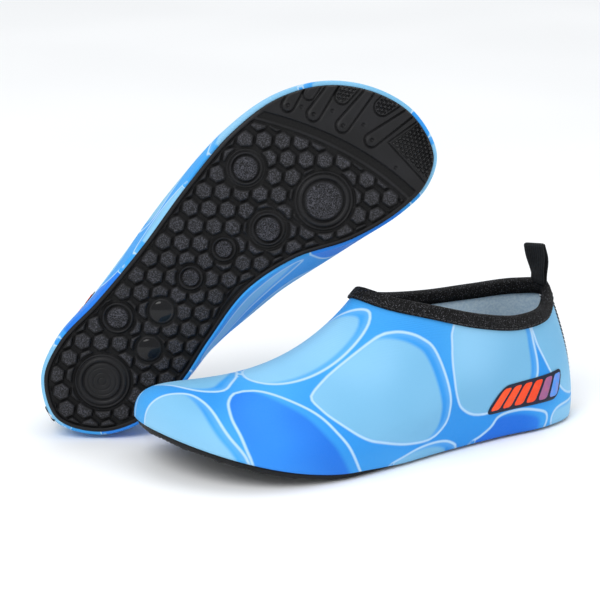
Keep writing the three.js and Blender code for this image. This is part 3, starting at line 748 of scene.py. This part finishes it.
def hexDistance(x, y, flats):
    # less than 0 inside a six-sided stud with one flat facing the toe
    far = np.full(x.shape, -1e9)
    for k in range(3):
        angle = k * math.pi / 3
        far = np.maximum(far, np.abs(x * math.cos(angle) + y * math.sin(angle)))
    return far - flats / 2


def taperedBar(x, y, root, tip, wide):
    # less than 0 inside a bar with a round root that runs out to its tip
    root, tip = np.array(root, float), np.array(tip, float)
    along = tip - root
    reach = float(np.hypot(*along))
    along /= reach
    dx, dy = x - root[0], y - root[1]
    run = dx * along[0] + dy * along[1]
    out = np.maximum(run, 0)
    side = np.hypot(dx - along[0] * out, dy - along[1] * out)
    return side - (wide[0] + (wide[1] - wide[0]) * np.clip(run / reach, 0, 1.2))


def studField(x, y, clear):
    # height and grain of the six-sided studs; clear is less than 0 where they may stand
    s = treadSettings
    turn = math.radians(s["turn"])
    px = x * math.cos(turn) + (y - s["startY"]) * math.sin(turn)
    py = -x * math.sin(turn) + (y - s["startY"]) * math.cos(turn)
    row = np.round(py / s["acrossStep"])
    best = np.full(x.shape, 1e9)
    tall = np.zeros(x.shape)
    dice = np.random.default_rng(s["seed"]).uniform(-0.12, 0.08, (64, 64))
    for step in (-1, 0, 1):
        line = row + step
        offset = (np.abs(line) % 2) / 2
        column = np.round(px / s["alongStep"] - offset)
        cx = (column + offset) * s["alongStep"]
        cy = line * s["acrossStep"]
        d = hexDistance(px - cx, py - cy, s["studFlats"])
        closer = d < best
        best = np.where(closer, d, best)
        pick = dice[(line.astype(int) + 32) % 64, column.astype(int) % 64]
        tall = np.where(closer, pick, tall)
    d = np.maximum(best, clear)
    height = (s["studHigh"] + tall) * smooth((0.15 - d) / s["bevel"])
    return height, smooth((-d - 0.7) / 0.5)


def podField(x, y, pod):
    # height, maze and gloss of one pod
    r = np.hypot(x - pod["at"][0], y - pod["at"][1])
    share = r / pod["r"]
    high = treadSettings["studHigh"]
    edge = smooth((pod["r"] - r + 0.2) / 0.8)

    def ring(middle, half):
        # rounded ring, 1 at its middle
        return smooth(1 - np.abs(r - middle * pod["r"]) / half)

    nothing = np.zeros(x.shape)
    if pod["kind"] == "dome":
        cap = np.where(share < 0.86, np.sqrt(np.clip(1 - (share / 0.86) ** 2, 0, 1)) * 1.75, 0)
        return np.maximum(0.675 * edge, cap), nothing, smooth((0.9 - share) / 0.05)
    if pod["kind"] == "rim":
        height = high * 0.7 * edge + 0.5 * ring(0.9, 0.75) - 1.15 * ring(0.75, 0.8)
        return height + 0.25 * smooth((0.66 - share) / 0.1), smooth((0.68 - share) / 0.06), nothing
    if pod["kind"] == "heel":
        height = high * 0.66 * edge - 0.75 * ring(0.9, 0.7) + 0.45 * ring(0.79, 1.2) - 0.9 * ring(0.68, 0.75)
        circles = sum(ring(k, 0.45) for k in (0.14, 0.32, 0.5)) * 0.4
        return height + 0.2 * smooth((0.62 - share) / 0.08) - circles, nothing, nothing
    height = high * 0.72 * edge + 0.35 * ring(0.8, 0.8) - 1.25 * ring(0.91, 0.8) - 1.25 * ring(0.7, 0.8)
    return height + 0.42 * smooth((0.66 - share) / 0.04), smooth((0.63 - share) / 0.05), nothing


def bumpGrid(x, y):
    # little domes in rows that are set off by half a step
    pitch = treadSettings["bumpPitch"]
    row = np.round(y / (pitch * 0.82))
    cx = (np.round(x / pitch - (row % 2) / 2) + (row % 2) / 2) * pitch
    r = np.hypot(x - cx, y - row * pitch * 0.82)
    return np.clip(1 - (r / (pitch * 0.52)) ** 2, 0, 1)


def toeField(x, y, level):
    # cuts the bars, pads and dots of the toe zone into its level
    gloss = np.zeros(x.shape)
    for bar in toeBars:
        # a groove round the bar and a crown along it, then a small rim and a hole at its root
        d = taperedBar(x, y, bar["root"], bar["tip"], bar["wide"])
        level = level - 1.25 * smooth(1 - np.abs(d + 0.1) / 0.8) + 0.35 * smooth((-d - 0.5) / 1.6)
        r = np.hypot(x - bar["root"][0], y - bar["root"][1])
        level = level + 0.3 * smooth(1 - np.abs(r - 1.5) / 0.6) - 0.9 * smooth((1.3 - r) / 0.8)
    for pad in toePads:
        d = taperedBar(x, y, pad["root"], pad["tip"], pad["wide"])
        level = level - 1.15 * smooth(1 - np.abs(d) / 0.75)
        if pad["bumps"]:
            inside = smooth((-d - 0.7) / 0.4)
            level = level * (1 - inside) + inside * (0.25 + 1.25 * bumpGrid(x, y))
            gloss = np.maximum(gloss, inside)
        else:
            level = level - 0.4 * smooth(1 - np.abs(d + 1.7) / 0.5)
    corner = np.array(bigPad["corner"])  # the big pad has two straight sides and runs out at the toe edge
    side = np.full(x.shape, -1e9)
    for key, turn in (("tipward", 1), ("sideward", -1)):
        along = np.array(bigPad[key]) - corner
        along /= np.hypot(*along)
        side = np.maximum(side, turn * ((x - corner[0]) * along[1] - (y - corner[1]) * along[0]))
    inside = smooth((-side - 1.5) / 0.4)
    level = level - 1.1 * smooth(1 - np.abs(side) / 0.6) - 0.8 * smooth(1 - np.abs(side + 1.5) / 0.5)
    level = level * (1 - inside) + inside * (0.25 + 1.25 * bumpGrid(x, y))
    for dotX, dotY in toeDots:
        r = np.hypot(x - dotX, y - dotY)
        level = level + 0.25 * smooth(1 - np.abs(r - 1.5) / 0.5) - 0.8 * smooth((1.2 - r) / 0.7)
    return level, np.maximum(gloss, inside)


def treadField(x, y, inward):
    # height of the tread above the plate, and where it is grainy, glossy, mazed or a gap;
    # inward is the distance from the sole edge
    s = treadSettings
    fromChannel = x - channelAt(y)
    arch = np.interp(x, *np.array(archLine).T, left=99, right=99)
    archSide = y - arch
    podGap = np.full(x.shape, -1e9)
    for pod in pods:
        r = np.hypot(x - pod["at"][0], y - pod["at"][1])
        podGap = np.maximum(podGap, pod["r"] + s["podRoom"] - r)
    clear = np.maximum.reduce([podGap, s["band"] + s["bandRoom"] - inward, fromChannel + s["channelRoom"],
                               archSide + s["archRoom"]])
    level, grain = studField(x, y, clear)
    maze, gloss = np.zeros(x.shape), np.zeros(x.shape)
    for pod in pods:
        near = np.hypot(x - pod["at"][0], y - pod["at"][1]) < pod["r"] + 0.6
        podLevel, podMaze, podGloss = podField(x[near], y[near], pod)
        level[near] = np.maximum(level[near], podLevel)
        maze[near] = np.maximum(maze[near], podMaze)
        gloss[near] = np.maximum(gloss[near], podGloss)
    # plain arch plate with a raised line along its edge
    zone = smooth((archSide + 0.4) / 0.8) * smooth((inward - s["band"]) / 1.5)
    level = level * (1 - zone) + zone * s["archHigh"]
    level = level + 0.55 * smooth(1 - np.abs(archSide) / 0.55) * smooth((inward - s["band"]) / 0.8)
    ridge = smooth(1 - np.abs(fromChannel + s["ridgeAt"]) / s["ridgeHalf"])
    level = np.maximum(level, s["ridgeHigh"] * ridge)
    toeward = smooth((fromChannel - s["channelWide"]) / 1.2)
    toe, toeGloss = toeField(x, y, np.full(x.shape, s["toeHigh"]))
    level = level * (1 - toeward) + toeward * toe
    gloss = np.maximum(gloss, toeGloss * toeward * 0.8)
    # plain band along the sole edge, thin round the toe
    wide = s["band"] + (s["toeBand"] - s["band"]) * toeward
    band = smooth((wide - inward) / 1.1)
    rounded = s["bandHigh"] * smooth((inward + 0.9) / 2.2)
    line = 0.35 * smooth(1 - np.abs(inward - wide + 0.6) / 0.4) * (1 - toeward)
    level = level * (1 - band) + band * (rounded + line)
    masks = {"grain": grain * (1 - band) * (1 - toeward), "gloss": gloss * (1 - band), "maze": maze}
    # gap marks the low parts of the tread: the rubber paints them almost black as painted shade and makes
    # them rougher
    masks["gap"] = smooth((0.75 - level) / 0.6) * (1 - band)
    return level, masks


def edgeDistance(x, y, ring):
    # from the sole edge inwards
    flat = np.column_stack([x.ravel(), y.ravel()])
    best = np.full(len(flat), 99.0)
    for start in range(0, len(ring), 12):
        part = np.vstack([ring, ring[:1]])[start:start + 13]
        near = (flat[:, 0] > part[:, 0].min() - 9) & (flat[:, 0] < part[:, 0].max() + 9)
        if near.any():
            best[near] = np.minimum(best[near], distanceToLine(flat[near], part, closed=False))
    return best.reshape(x.shape)


def crossings(ring, x):
    # the two y values where the outline crosses each x
    closed = np.vstack([ring, ring[:1]])
    sides = []
    for pick in (max, min):
        run = []
        for at in x:
            a, b = closed[:-1], closed[1:]
            hit = (a[:, 0] <= at) != (b[:, 0] <= at)
            y = a[hit, 1] + (at - a[hit, 0]) / (b[hit, 0] - a[hit, 0]) * (b[hit, 1] - a[hit, 1])
            run.append(pick(y))
        sides.append(np.array(run))
    return sides


def footGrid(inset, rows, cols, margin, even=0.0):
    # points over the sole, closer together at its edge; even, 0 to 1, spreads them across
    ring = insetRing(ringSteps, inset)
    low, high = ring[:, 0].min() + margin, ring[:, 0].max() - margin
    along = low + (high - low) * (0.5 - 0.5 * np.cos(np.linspace(0, math.pi, rows)))
    outer, inner = crossings(ring, along)
    t = (1 - even) * (0.5 - 0.5 * np.cos(np.linspace(0, math.pi, cols))) + even * np.linspace(0, 1, cols)
    x = np.repeat(along[:, None], cols, 1)
    y = outer[:, None] + (inner - outer)[:, None] * t[None, :]
    return x, y, edgeDistance(x, y, ring)


def outsolePiece(side):
    s = treadSettings
    rows, cols = s["fine"] if side == "right" else s["plain"]
    x, y, inward = footGrid(s["inset"], rows, cols, 0.03, s["even"])
    level, masks = treadField(x, y, inward)
    bottom = np.stack([x, y, springAt(x) + last["plateBottom"] - level], -1).reshape(-1, 3)
    top = np.stack([x, y, springAt(x) + last["soleTop"]], -1).reshape(-1, 3)
    count = rows * cols
    loop = edgeLoop(rows, cols)
    waist = (bottom[loop] + top[loop]) / 2
    run = waist - np.roll(waist, 1, 0)
    run[:, 2] = 0
    outward = np.cross([0, 0, 1], run)
    outward /= np.maximum(np.linalg.norm(outward, axis=1, keepdims=True), 1e-6)
    points = np.vstack([bottom, top, waist + outward * s["edgeBulge"]])
    bulge = np.arange(len(loop)) + 2 * count
    faces = np.vstack([gridQuads(rows, cols, False)[:, ::-1], gridQuads(rows, cols, False, count),
                       wallBetween(loop, bulge), wallBetween(bulge, loop + count)])
    plain = np.zeros(count + len(loop))
    spread = {key: np.concatenate([values.ravel(), plain]) for key, values in masks.items()}
    piece = makeMesh(side + "_studded_outsole", points, [faces], side, finishes["rubber"], spread)
    return finishPiece(piece, bodies[side], "outsole_rubber", side + "_outsole")


for side in places:
    outsolePiece(side)
print("outsoles made")


insoleSettings = {
    "inset": 3.5, "lift": 1.8, "thick": 3.2, "rows": 150, "cols": 50, "crown": 0.35, "round": 1.1,
}


def flatLayer(inset, lift, thick, rows, cols, roundOff, crown=0.0):
    # flat closed layer over the sole, with rounded edges, that follows the toe spring
    x, y, inward = footGrid(inset, rows, cols, 0.05)
    base = springAt(x) + last["soleTop"] + lift
    fall = roundOff * (1 - np.sqrt(np.clip(1 - (1 - np.clip(inward / roundOff, 0, 1)) ** 2, 0, 1)))
    dish = crown * smooth(inward / 14)
    top = np.stack([x, y, base + thick - fall - dish], -1).reshape(-1, 3)
    bottom = np.stack([x, y, base + np.minimum(fall, thick * 0.45)], -1).reshape(-1, 3)
    return np.vstack([top, bottom]), slabFaces(rows, cols)


def boardPiece(side):
    s = boardSettings
    points, faces = flatLayer(s["inset"], s["lift"], s["thick"], s["rows"], s["cols"], s["round"])
    piece = makeMesh(side + "_sewn_board", points, faces, side, finishes["board"], None, points[:, :2])
    return finishPiece(piece, bodies[side], "board_fabric", side + "_lasting_board")


def insolePiece(side):
    s = insoleSettings
    points, faces = flatLayer(s["inset"], s["lift"], s["thick"], s["rows"], s["cols"], s["round"], s["crown"])
    piece = makeMesh(side + "_foam_insole", points, faces, side, finishes["insole"], None, points[:, :2])
    return finishPiece(piece, bodies[side], "insole_foam", side + "_insole")


for side in places:
    boardPiece(side)
    insolePiece(side)
print("boards and insoles made")


def tube(line, normals, radius, sides):
    # round thread along a line, closed at both ends
    ahead = np.roll(line, -1, 0) - np.roll(line, 1, 0)
    ahead[0], ahead[-1] = line[1] - line[0], line[-1] - line[-2]
    ahead /= np.maximum(np.linalg.norm(ahead, axis=1, keepdims=True), 1e-9)
    across = np.cross(ahead, normals)
    across /= np.maximum(np.linalg.norm(across, axis=1, keepdims=True), 1e-9)
    angle = np.arange(sides) * 2 * math.pi / sides
    section = np.stack([np.cos(angle) * radius, np.sin(angle) * radius], -1)
    points = line[:, None] + across[:, None] * section[None, :, :1]
    points = points + np.cross(across, ahead)[:, None] * section[None, :, 1:]
    fan = np.arange(1, sides - 1)
    start = np.stack([np.zeros_like(fan), fan + 1, fan], -1)
    end = start[:, ::-1] + (len(line) - 1) * sides
    return points.reshape(-1, 3), [gridQuads(len(line), sides), np.vstack([start, end])]


def joinParts(parts):
    # several (points, face blocks) as one
    points, quads, triangles, base = [], [], [], 0
    for own, blocks in parts:
        points.append(own)
        for block in blocks:
            (quads if block.shape[1] == 4 else triangles).append(block + base)
        base += len(own)
    blocks = [np.vstack(kind) for kind in (quads, triangles) if kind]
    return np.vstack(points), blocks


# collar edging: a folded strip with a row of stitches
bindingSettings = {
    "around": 420, "wall": 1.0, "outside": 1.35, "inside": -3.75, "below": 7.0, "above": 1.05,
    "ripple": 0.12, "ripples": 118, "stripLong": 210, "lift": 0.3,
    "stitchUp": 1.1, "stitchLong": 2.3, "stitchGap": 1.0, "stitchArch": 0.16, "threadR": 0.2,
}


def runAlong(line):
    # length run so far at each point of a line
    return np.concatenate([[0], np.cumsum(np.hypot(*np.diff(line, axis=0).T))])


def collarFrame(u):
    top = surfaceAt(u, 1.0)
    normal = normalAt(u, np.full(len(u), 1.0))
    up = top - surfaceAt(u, np.full(len(u), 0.94))
    up /= np.linalg.norm(up, axis=1, keepdims=True)
    return top, normal, up


def bindingSection():
    # folded strip, seen along the collar: (outwards, upwards), closed
    s = bindingSettings
    middle, half = (s["outside"] + s["inside"]) / 2, (s["outside"] - s["inside"]) / 2
    bend = np.linspace(0, math.pi, 11)
    outer = [(s["outside"] - 0.15, -s["below"]), (s["outside"] + 0.1, -s["below"] * 0.8),
             (s["outside"] + 0.12, -s["below"] * 0.45), (s["outside"] + 0.05, -1.2)]
    fold = [(middle + half * math.cos(a), -0.55 + (s["above"] + 0.55) * math.sin(a) ** 0.8) for a in bend]
    down = [(s["inside"] - 0.05, -1.2), (s["inside"] - 0.12, -s["below"] * 0.5), (s["inside"], -s["below"])]
    back, front = s["inside"] + s["wall"], s["outside"] - s["wall"]
    backUp = [(back, -s["below"]), (back, -1.2), (back, -0.25)]
    backDown = [(front, -0.25), (front, -1.2), (front - 0.1, -s["below"])]
    return np.array(outer + fold + down + backUp + backDown)


def bindingPiece(side):
    s = bindingSettings
    u = np.arange(s["around"]) / s["around"]
    top, normal, up = collarFrame(u)
    section = bindingSection()
    corners = len(section)
    wave = s["ripple"] * np.sin(u * s["ripples"] * 2 * math.pi)[:, None]
    outFace = np.clip(section[:, 0] / s["outside"], 0, 1)[None, :] * (section[:, 1] < 0)[None, :]
    shift = section[None, :, 0] + wave * outFace
    points = top[:, None] + normal[:, None] * shift[..., None]
    points = points + up[:, None] * (section[None, :, 1:] + s["lift"])
    cloth = np.column_stack([np.repeat(u * s["stripLong"], corners), np.tile(runAlong(section), s["around"])])
    first = np.arange(corners)
    seam = wallBetween(first + (s["around"] - 1) * corners, first)
    faces = np.vstack([gridQuads(s["around"], corners), seam])
    piece = makeMesh(side + "_stretch_binding", points.reshape(-1, 3), [faces], side, finishes["edging"],
                     None, cloth)
    return finishPiece(piece, bodies[side], "edging_fabric", side + "_collar_binding")


def bindingStitches(side):
    # row of short lockstitches near the lower edge of the folded strip
    s = bindingSettings
    ring = surfaceAt(np.arange(600) / 600, 1.0)
    around = float(np.linalg.norm(np.roll(ring, -1, 0) - ring, axis=1).sum())
    pitch = s["stitchLong"] + s["stitchGap"]
    count = int(around / pitch)
    arch = np.sin(np.linspace(0, math.pi, 6)) * s["stitchArch"]
    parts = []
    for k in range(count):
        top, normal, up = collarFrame((k + np.linspace(0, s["stitchLong"] / pitch, 6)) / count)
        line = top + normal * (s["outside"] + 0.02 + arch)[:, None]
        line = line + up * (s["stitchUp"] - s["below"] + s["lift"])
        parts.append(tube(line, normal, s["threadR"], 5))
    points, blocks = joinParts(parts)
    piece = makeMesh(side + "_binding_stitches", points, blocks, side, finishes["blackThread"])
    return finishPiece(piece, bodies[side], "edging_fabric")


for side in places:
    bindingPiece(side)
    bindingStitches(side)
print("collar bindings made")


# heel seam: tape inside, crossed threads inside and out
seamSettings = {
    "tapeHalf": 4.5, "tapeLong": 70, "tapeNear": 2.7, "tapeFar": 3.3, "tapeFrom": 0.16, "tapeTo": 0.9,
    "threadHalf": 4.0, "pitch": 2.4, "radius": 0.34, "outFrom": -0.03, "outTo": 0.94, "outLift": 0.3,
}


def roundStep(v):
    # share of the way round the shoe for one millimetre at the heel
    ahead = np.linalg.norm(surfaceAt(heelU + 0.01, v) - surfaceAt(heelU - 0.01, v), axis=-1)
    return 0.02 / ahead


def heelTape(side):
    s = seamSettings
    rows, cols = 60, 13
    v = np.linspace(s["tapeFrom"], s["tapeTo"], rows)
    across = np.linspace(-1, 1, cols)
    u = heelU + across[None, :] * s["tapeHalf"] * roundStep(v)[:, None]
    vv = np.repeat(v[:, None], cols, 1)
    hem = 0.18 * np.clip(np.abs(across) * 6 - 5, 0, 1) + 0 * vv
    face = onUpper(u, vv, -s["tapeFar"] + hem).reshape(-1, 3)
    back = onUpper(u, vv, -s["tapeNear"] - hem * 0.5).reshape(-1, 3)
    cloth = np.column_stack([np.tile(across * s["tapeHalf"], rows), np.repeat(v * s["tapeLong"], cols)])
    piece = makeMesh(side + "_heel_seam_tape", np.vstack([face, back]), slabFaces(rows, cols), side,
                     finishes["tape"], None, np.tile(cloth, (2, 1)))
    return finishPiece(piece, bodies[side], "edging_fabric", side + "_heel_tape")


def crossedThread(side, name, colour, lift, span, phase, half):
    # zigzag of thread up the heel seam
    s = seamSettings
    low, high = span
    tall = float(np.linalg.norm(surfaceAt(heelU, high) - surfaceAt(heelU, low)))
    turns = int(tall / s["pitch"])
    t = np.linspace(0, turns, turns * 8 + 1)
    swing = 2 * np.abs(((t + phase) % 1) * 2 - 1) - 1
    v = low + (high - low) * t / turns
    u = heelU + swing * half * roundStep(v)
    over = np.cos((t + phase) * 4 * math.pi) * 0.1
    normal = normalAt(u, v)
    line = surfaceAt(u, v) + normal * (lift + np.sign(lift) * over)[:, None]
    points, blocks = tube(line, normal, s["radius"], 6)
    piece = makeMesh(side + name, points, blocks, side, finishes[colour])
    return finishPiece(piece, bodies[side], "edging_fabric")


def seamThreads(side):
    s = seamSettings
    out, half = s["outLift"], s["threadHalf"]
    inside = -(s["tapeFar"] + 0.15)
    outer, inner = (s["outFrom"], s["outTo"]), (s["tapeFrom"] + 0.02, s["tapeTo"])
    crossedThread(side, "_heel_thread_black", "blackThread", out + 0.25, outer, 0, half)
    crossedThread(side, "_heel_thread_black_cross", "blackThread", out + 0.1, outer, 0.5, half)
    crossedThread(side, "_heel_thread_white", "whiteThread", out, outer, 0.25, half * 0.9)
    crossedThread(side, "_lining_thread_black", "blackThread", inside, inner, 0, half)
    crossedThread(side, "_lining_thread_white", "whiteThread", inside - 0.15, inner, 0.5, half)


for side in places:
    heelTape(side)
    seamThreads(side)
print("heel seams made")


tabSettings = {
    "width": 12, "high": 20.6, "thick": 1.15, "depth": 3.1, "foot": 4.2, "bulge": 1.5, "cols": 15,
    "lean": {"left": 12, "right": 55}, "forward": 2.6, "twist": -26, "rootRise": 4.6,
    "bendFrom": -1.4, "bendTo": 2.6,
}


def tabRootPoint():
    # where the strip leaves the edging, over the middle of fabric and lining
    s = tabSettings
    top = surfaceAt(heelU, 1.0)
    root = top - normalAt(heelU, 1.0) * liningSettings["far"] / 2
    return np.array([root[0] + s["forward"], 0.0, top[2] + s["rootRise"]])


def tabPath():
    # the strip's middle, from under the edging up, over and down again: (forward, up) from the root
    s = tabSettings
    half = (s["depth"] - s["thick"]) / 2
    rise = s["high"] - 2.6 - half
    front = [(half * 0.9, y) for y in (-s["foot"], -2.0, 0.0)] + [(half, y) for y in np.linspace(2, rise, 8)]
    over = [(half * math.cos(a), rise + half * math.sin(a)) for a in np.linspace(0.25, math.pi - 0.25, 7)]
    back = [(-half - s["bulge"] * math.sin(math.pi * (1 - y / rise)) ** 1.4, y)
            for y in np.linspace(rise, 1.5, 9)]
    tail = [(-half * 0.9, y) for y in (0.0, -2.0, -s["foot"])]
    return np.array(front + over + back + tail)


def pullTabPiece(side):
    s = tabSettings
    path = tabPath()
    ahead = np.gradient(path, axis=0)
    ahead /= np.linalg.norm(ahead, axis=1, keepdims=True)
    away = np.column_stack([ahead[:, 1], -ahead[:, 0]])
    across = np.linspace(-1, 1, s["cols"])
    thin = s["thick"] / 2 * np.sqrt(np.clip(1 - np.clip(np.abs(across) * 1.02, 0, 1) ** 10, 0.05, 1))
    lean = math.radians(s["lean"][side])
    skins = []
    for turn in (1, -1):
        flat = path[:, None] + turn * away[:, None] * thin[None, :, None]
        y = np.broadcast_to(across * s["width"] / 2, flat.shape[:2])
        skins.append(np.stack([flat[..., 0], y, flat[..., 1]], -1).reshape(-1, 3))
    local = np.vstack(skins)
    # above the root the strip leans by its set angle, below it stays in the edging
    share = smooth((local[:, 2] + 2.2) / 3.4) * lean
    twist = smooth(local[:, 2] / s["high"] * 1.4) * math.radians(s["twist"])
    x = local[:, 0] * np.cos(twist) - local[:, 1] * np.sin(twist)
    y = local[:, 0] * np.sin(twist) + local[:, 1] * np.cos(twist)
    forward = x * np.cos(share) + local[:, 2] * np.sin(share)
    z = -x * np.sin(share) + local[:, 2] * np.cos(share)
    root = tabRootPoint()
    rows, cols = len(path), s["cols"]
    cloth = np.column_stack([np.tile(across * s["width"] / 2, rows), np.repeat(runAlong(path), cols)])
    piece = makeMesh(side + "_webbing_loop", np.column_stack([forward, y, z]) + root, slabFaces(rows, cols),
                     side, finishes["webbing"], None, np.tile(cloth, (2, 1)))
    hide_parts(side + "_pull_tab")
    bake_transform(piece)
    return piece


for side in places:
    pullTabPiece(side)
print("pull tabs made")


# heel emblem: a plain row of slanted bars on a dark backing; middle is the share round and up
emblemSettings = {
    "middle": {"left": (0.603, 0.3), "right": (0.583, 0.48)},
    "bars": 6, "barWide": 5.9, "barGap": 1.9, "barTall": 11.6, "lean": 0.3, "corner": 0.28,
    "rim": 1.8, "backHigh": (0.25, 0.7), "barHigh": (0.65, 1.05), "tones": [0, 0.1, 0.2, 0.3, 0.68, 1.0],
}


def stepsAt(u, v):
    # round and up shares for one millimetre on the fabric here
    around = np.linalg.norm(surfaceAt(u + 0.005, v) - surfaceAt(u - 0.005, v)) / 0.01
    up = np.linalg.norm(surfaceAt(u, v + 0.02) - surfaceAt(u, v - 0.02)) / 0.04
    return 1 / around, 1 / up


def slantedPatch(side, along, wide, tall, low, high, rows=20, cols=28):
    # raised slanted patch with rounded corners, its middle this far along the emblem in millimetres
    s = emblemSettings
    middleU, middleV = s["middle"][side]
    stepU, stepV = stepsAt(middleU, middleV)
    across = np.linspace(-1, 1, rows)
    up = np.linspace(-1, 1, cols)
    corner = min(wide, tall) * s["corner"]
    fromEnd = np.clip((1 - np.abs(across)) * wide / 2 / corner, 0, 1)
    tuck = 1 - (1 - np.sqrt(1 - (1 - fromEnd) ** 2)) * corner / (tall / 2)
    y = up[None, :] * tuck[:, None] * tall / 2
    x = along + across[:, None] * wide / 2 + y * s["lean"]
    u = middleU - x * stepU
    v = middleV + y * stepV
    edge = np.maximum(np.abs(across)[:, None], np.abs(up)[None, :])
    drop = np.clip((edge - 0.86) / 0.14, 0, 1) ** 2 * (high - low) * 0.6
    top = onUpper(u, v, high - drop).reshape(-1, 3)
    base = onUpper(u, v, low + 0 * v).reshape(-1, 3)
    return np.vstack([top, base]), slabFaces(rows, cols)


def emblemPieces(side):
    s = emblemSettings
    step = s["barWide"] + s["barGap"]
    whole = s["bars"] * step - s["barGap"]
    wide, tall = whole + 2 * s["rim"], s["barTall"] + 2 * s["rim"]
    backing, blocks = slantedPatch(side, 0, wide, tall, *s["backHigh"], rows=60, cols=24)
    back = makeMesh(side + "_emblem_backing", backing, blocks, side, finishes["inkBack"])
    finishPiece(back, bodies[side], "emblem_film", side + "_emblem")
    parts, tones = [], []
    for k in range(s["bars"]):
        along = (k - (s["bars"] - 1) / 2) * step
        part = slantedPatch(side, along, s["barWide"], s["barTall"], *s["barHigh"])
        parts.append(part)
        tones.append(np.full(len(part[0]), s["tones"][k]))
    points, blocks = joinParts(parts)
    marks = {"along": np.concatenate(tones)}
    bars = makeMesh(side + "_emblem_bars", points, blocks, side, finishes["ink"], marks)
    finishPiece(bars, bodies[side], "emblem_film")


for side in places:
    emblemPieces(side)
print("emblems made")


cameraSettings = {"distance": 1.2, "elevation": 19.549, "lens": 136.15, "aimRight": -0.0315, "aimUp": 0.0619}
lightSettings = {
    "world": 0.66, "worldColour": (0.97, 0.985, 1, 1), "sky": 1.0, "skyWide": 70, "skyTilt": (-24, 8, 0),
    "key": {"place": (-0.5, -0.9, 1.1), "target": (0, 0, 0.05), "size": 0.9, "power": 11},
    "fill": {"place": (1.2, -0.7, 0.7), "target": (0.05, 0, 0.04), "size": 1.0, "power": 4},
}


def buildStage():
    mesh = bpy.data.meshes.new("floor")
    mesh.from_pydata([(-4, -4, 0), (4, -4, 0), (4, 4, 0), (-4, 4, 0)], [], [(0, 1, 2, 3)])
    floor = bpy.data.objects.new("floor", mesh)
    bpy.context.scene.collection.objects.link(floor)
    n = Nodes("pale floor").set(Roughness=0.9, Specular_IOR_Level=0.1)
    tone = n.ramp(n.noise(3, 1, 0.5), 0.3, 0.7)
    mesh.materials.append(n.join(n.mix(tone, srgb(244, 245, 246), srgb(248, 249, 250))))


def areaLight(name, place, target, size, power):
    light = bpy.data.lights.new(name, "AREA")
    light.shape = "DISK"
    light.size = size
    light.energy = power
    lamp = bpy.data.objects.new(name, light)
    lamp.location = place
    lamp.rotation_euler = (Vector(target) - Vector(place)).to_track_quat("-Z", "Y").to_euler()
    bpy.context.scene.collection.objects.link(lamp)


def buildLights():
    s = lightSettings
    world = bpy.data.worlds.new("soft studio")
    bpy.context.scene.world = world
    world.use_nodes = True
    background = world.node_tree.nodes["Background"]
    background.inputs["Color"].default_value = s["worldColour"]
    background.inputs["Strength"].default_value = s["world"]
    areaLight("key", **s["key"])
    areaLight("fill", **s["fill"])
    sky = bpy.data.lights.new("sky", "SUN")
    sky.energy = s["sky"]
    sky.angle = math.radians(s["skyWide"])
    lamp = bpy.data.objects.new("sky", sky)
    lamp.rotation_euler = [math.radians(degrees) for degrees in s["skyTilt"]]
    bpy.context.scene.collection.objects.link(lamp)


def buildCamera():
    s = cameraSettings
    middle = Vector(toWorld([[length / 2, 0, 0]], "left")[0] * mm)
    middle.z = 0
    rise = math.radians(s["elevation"])
    eye = middle + Vector((0, -math.cos(rise), math.sin(rise))) * s["distance"]
    back = (eye - middle).normalized()
    right = Vector((1, 0, 0))
    up = back.cross(right)
    aim = -back + right * s["aimRight"] + up * s["aimUp"]
    data = bpy.data.cameras.new("camera")
    data.lens = s["lens"]
    data.sensor_width = 36
    data.dof.use_dof = False
    data.clip_start = 0.01
    camera = bpy.data.objects.new("camera", data)
    camera.location = eye
    camera.rotation_euler = aim.to_track_quat("-Z", "Y").to_euler()
    bpy.context.scene.collection.objects.link(camera)
    bpy.context.scene.camera = camera


bpy.context.scene.view_settings.view_transform = "Standard"
buildStage()
buildLights()
buildCamera()
print("stage, light and camera made")
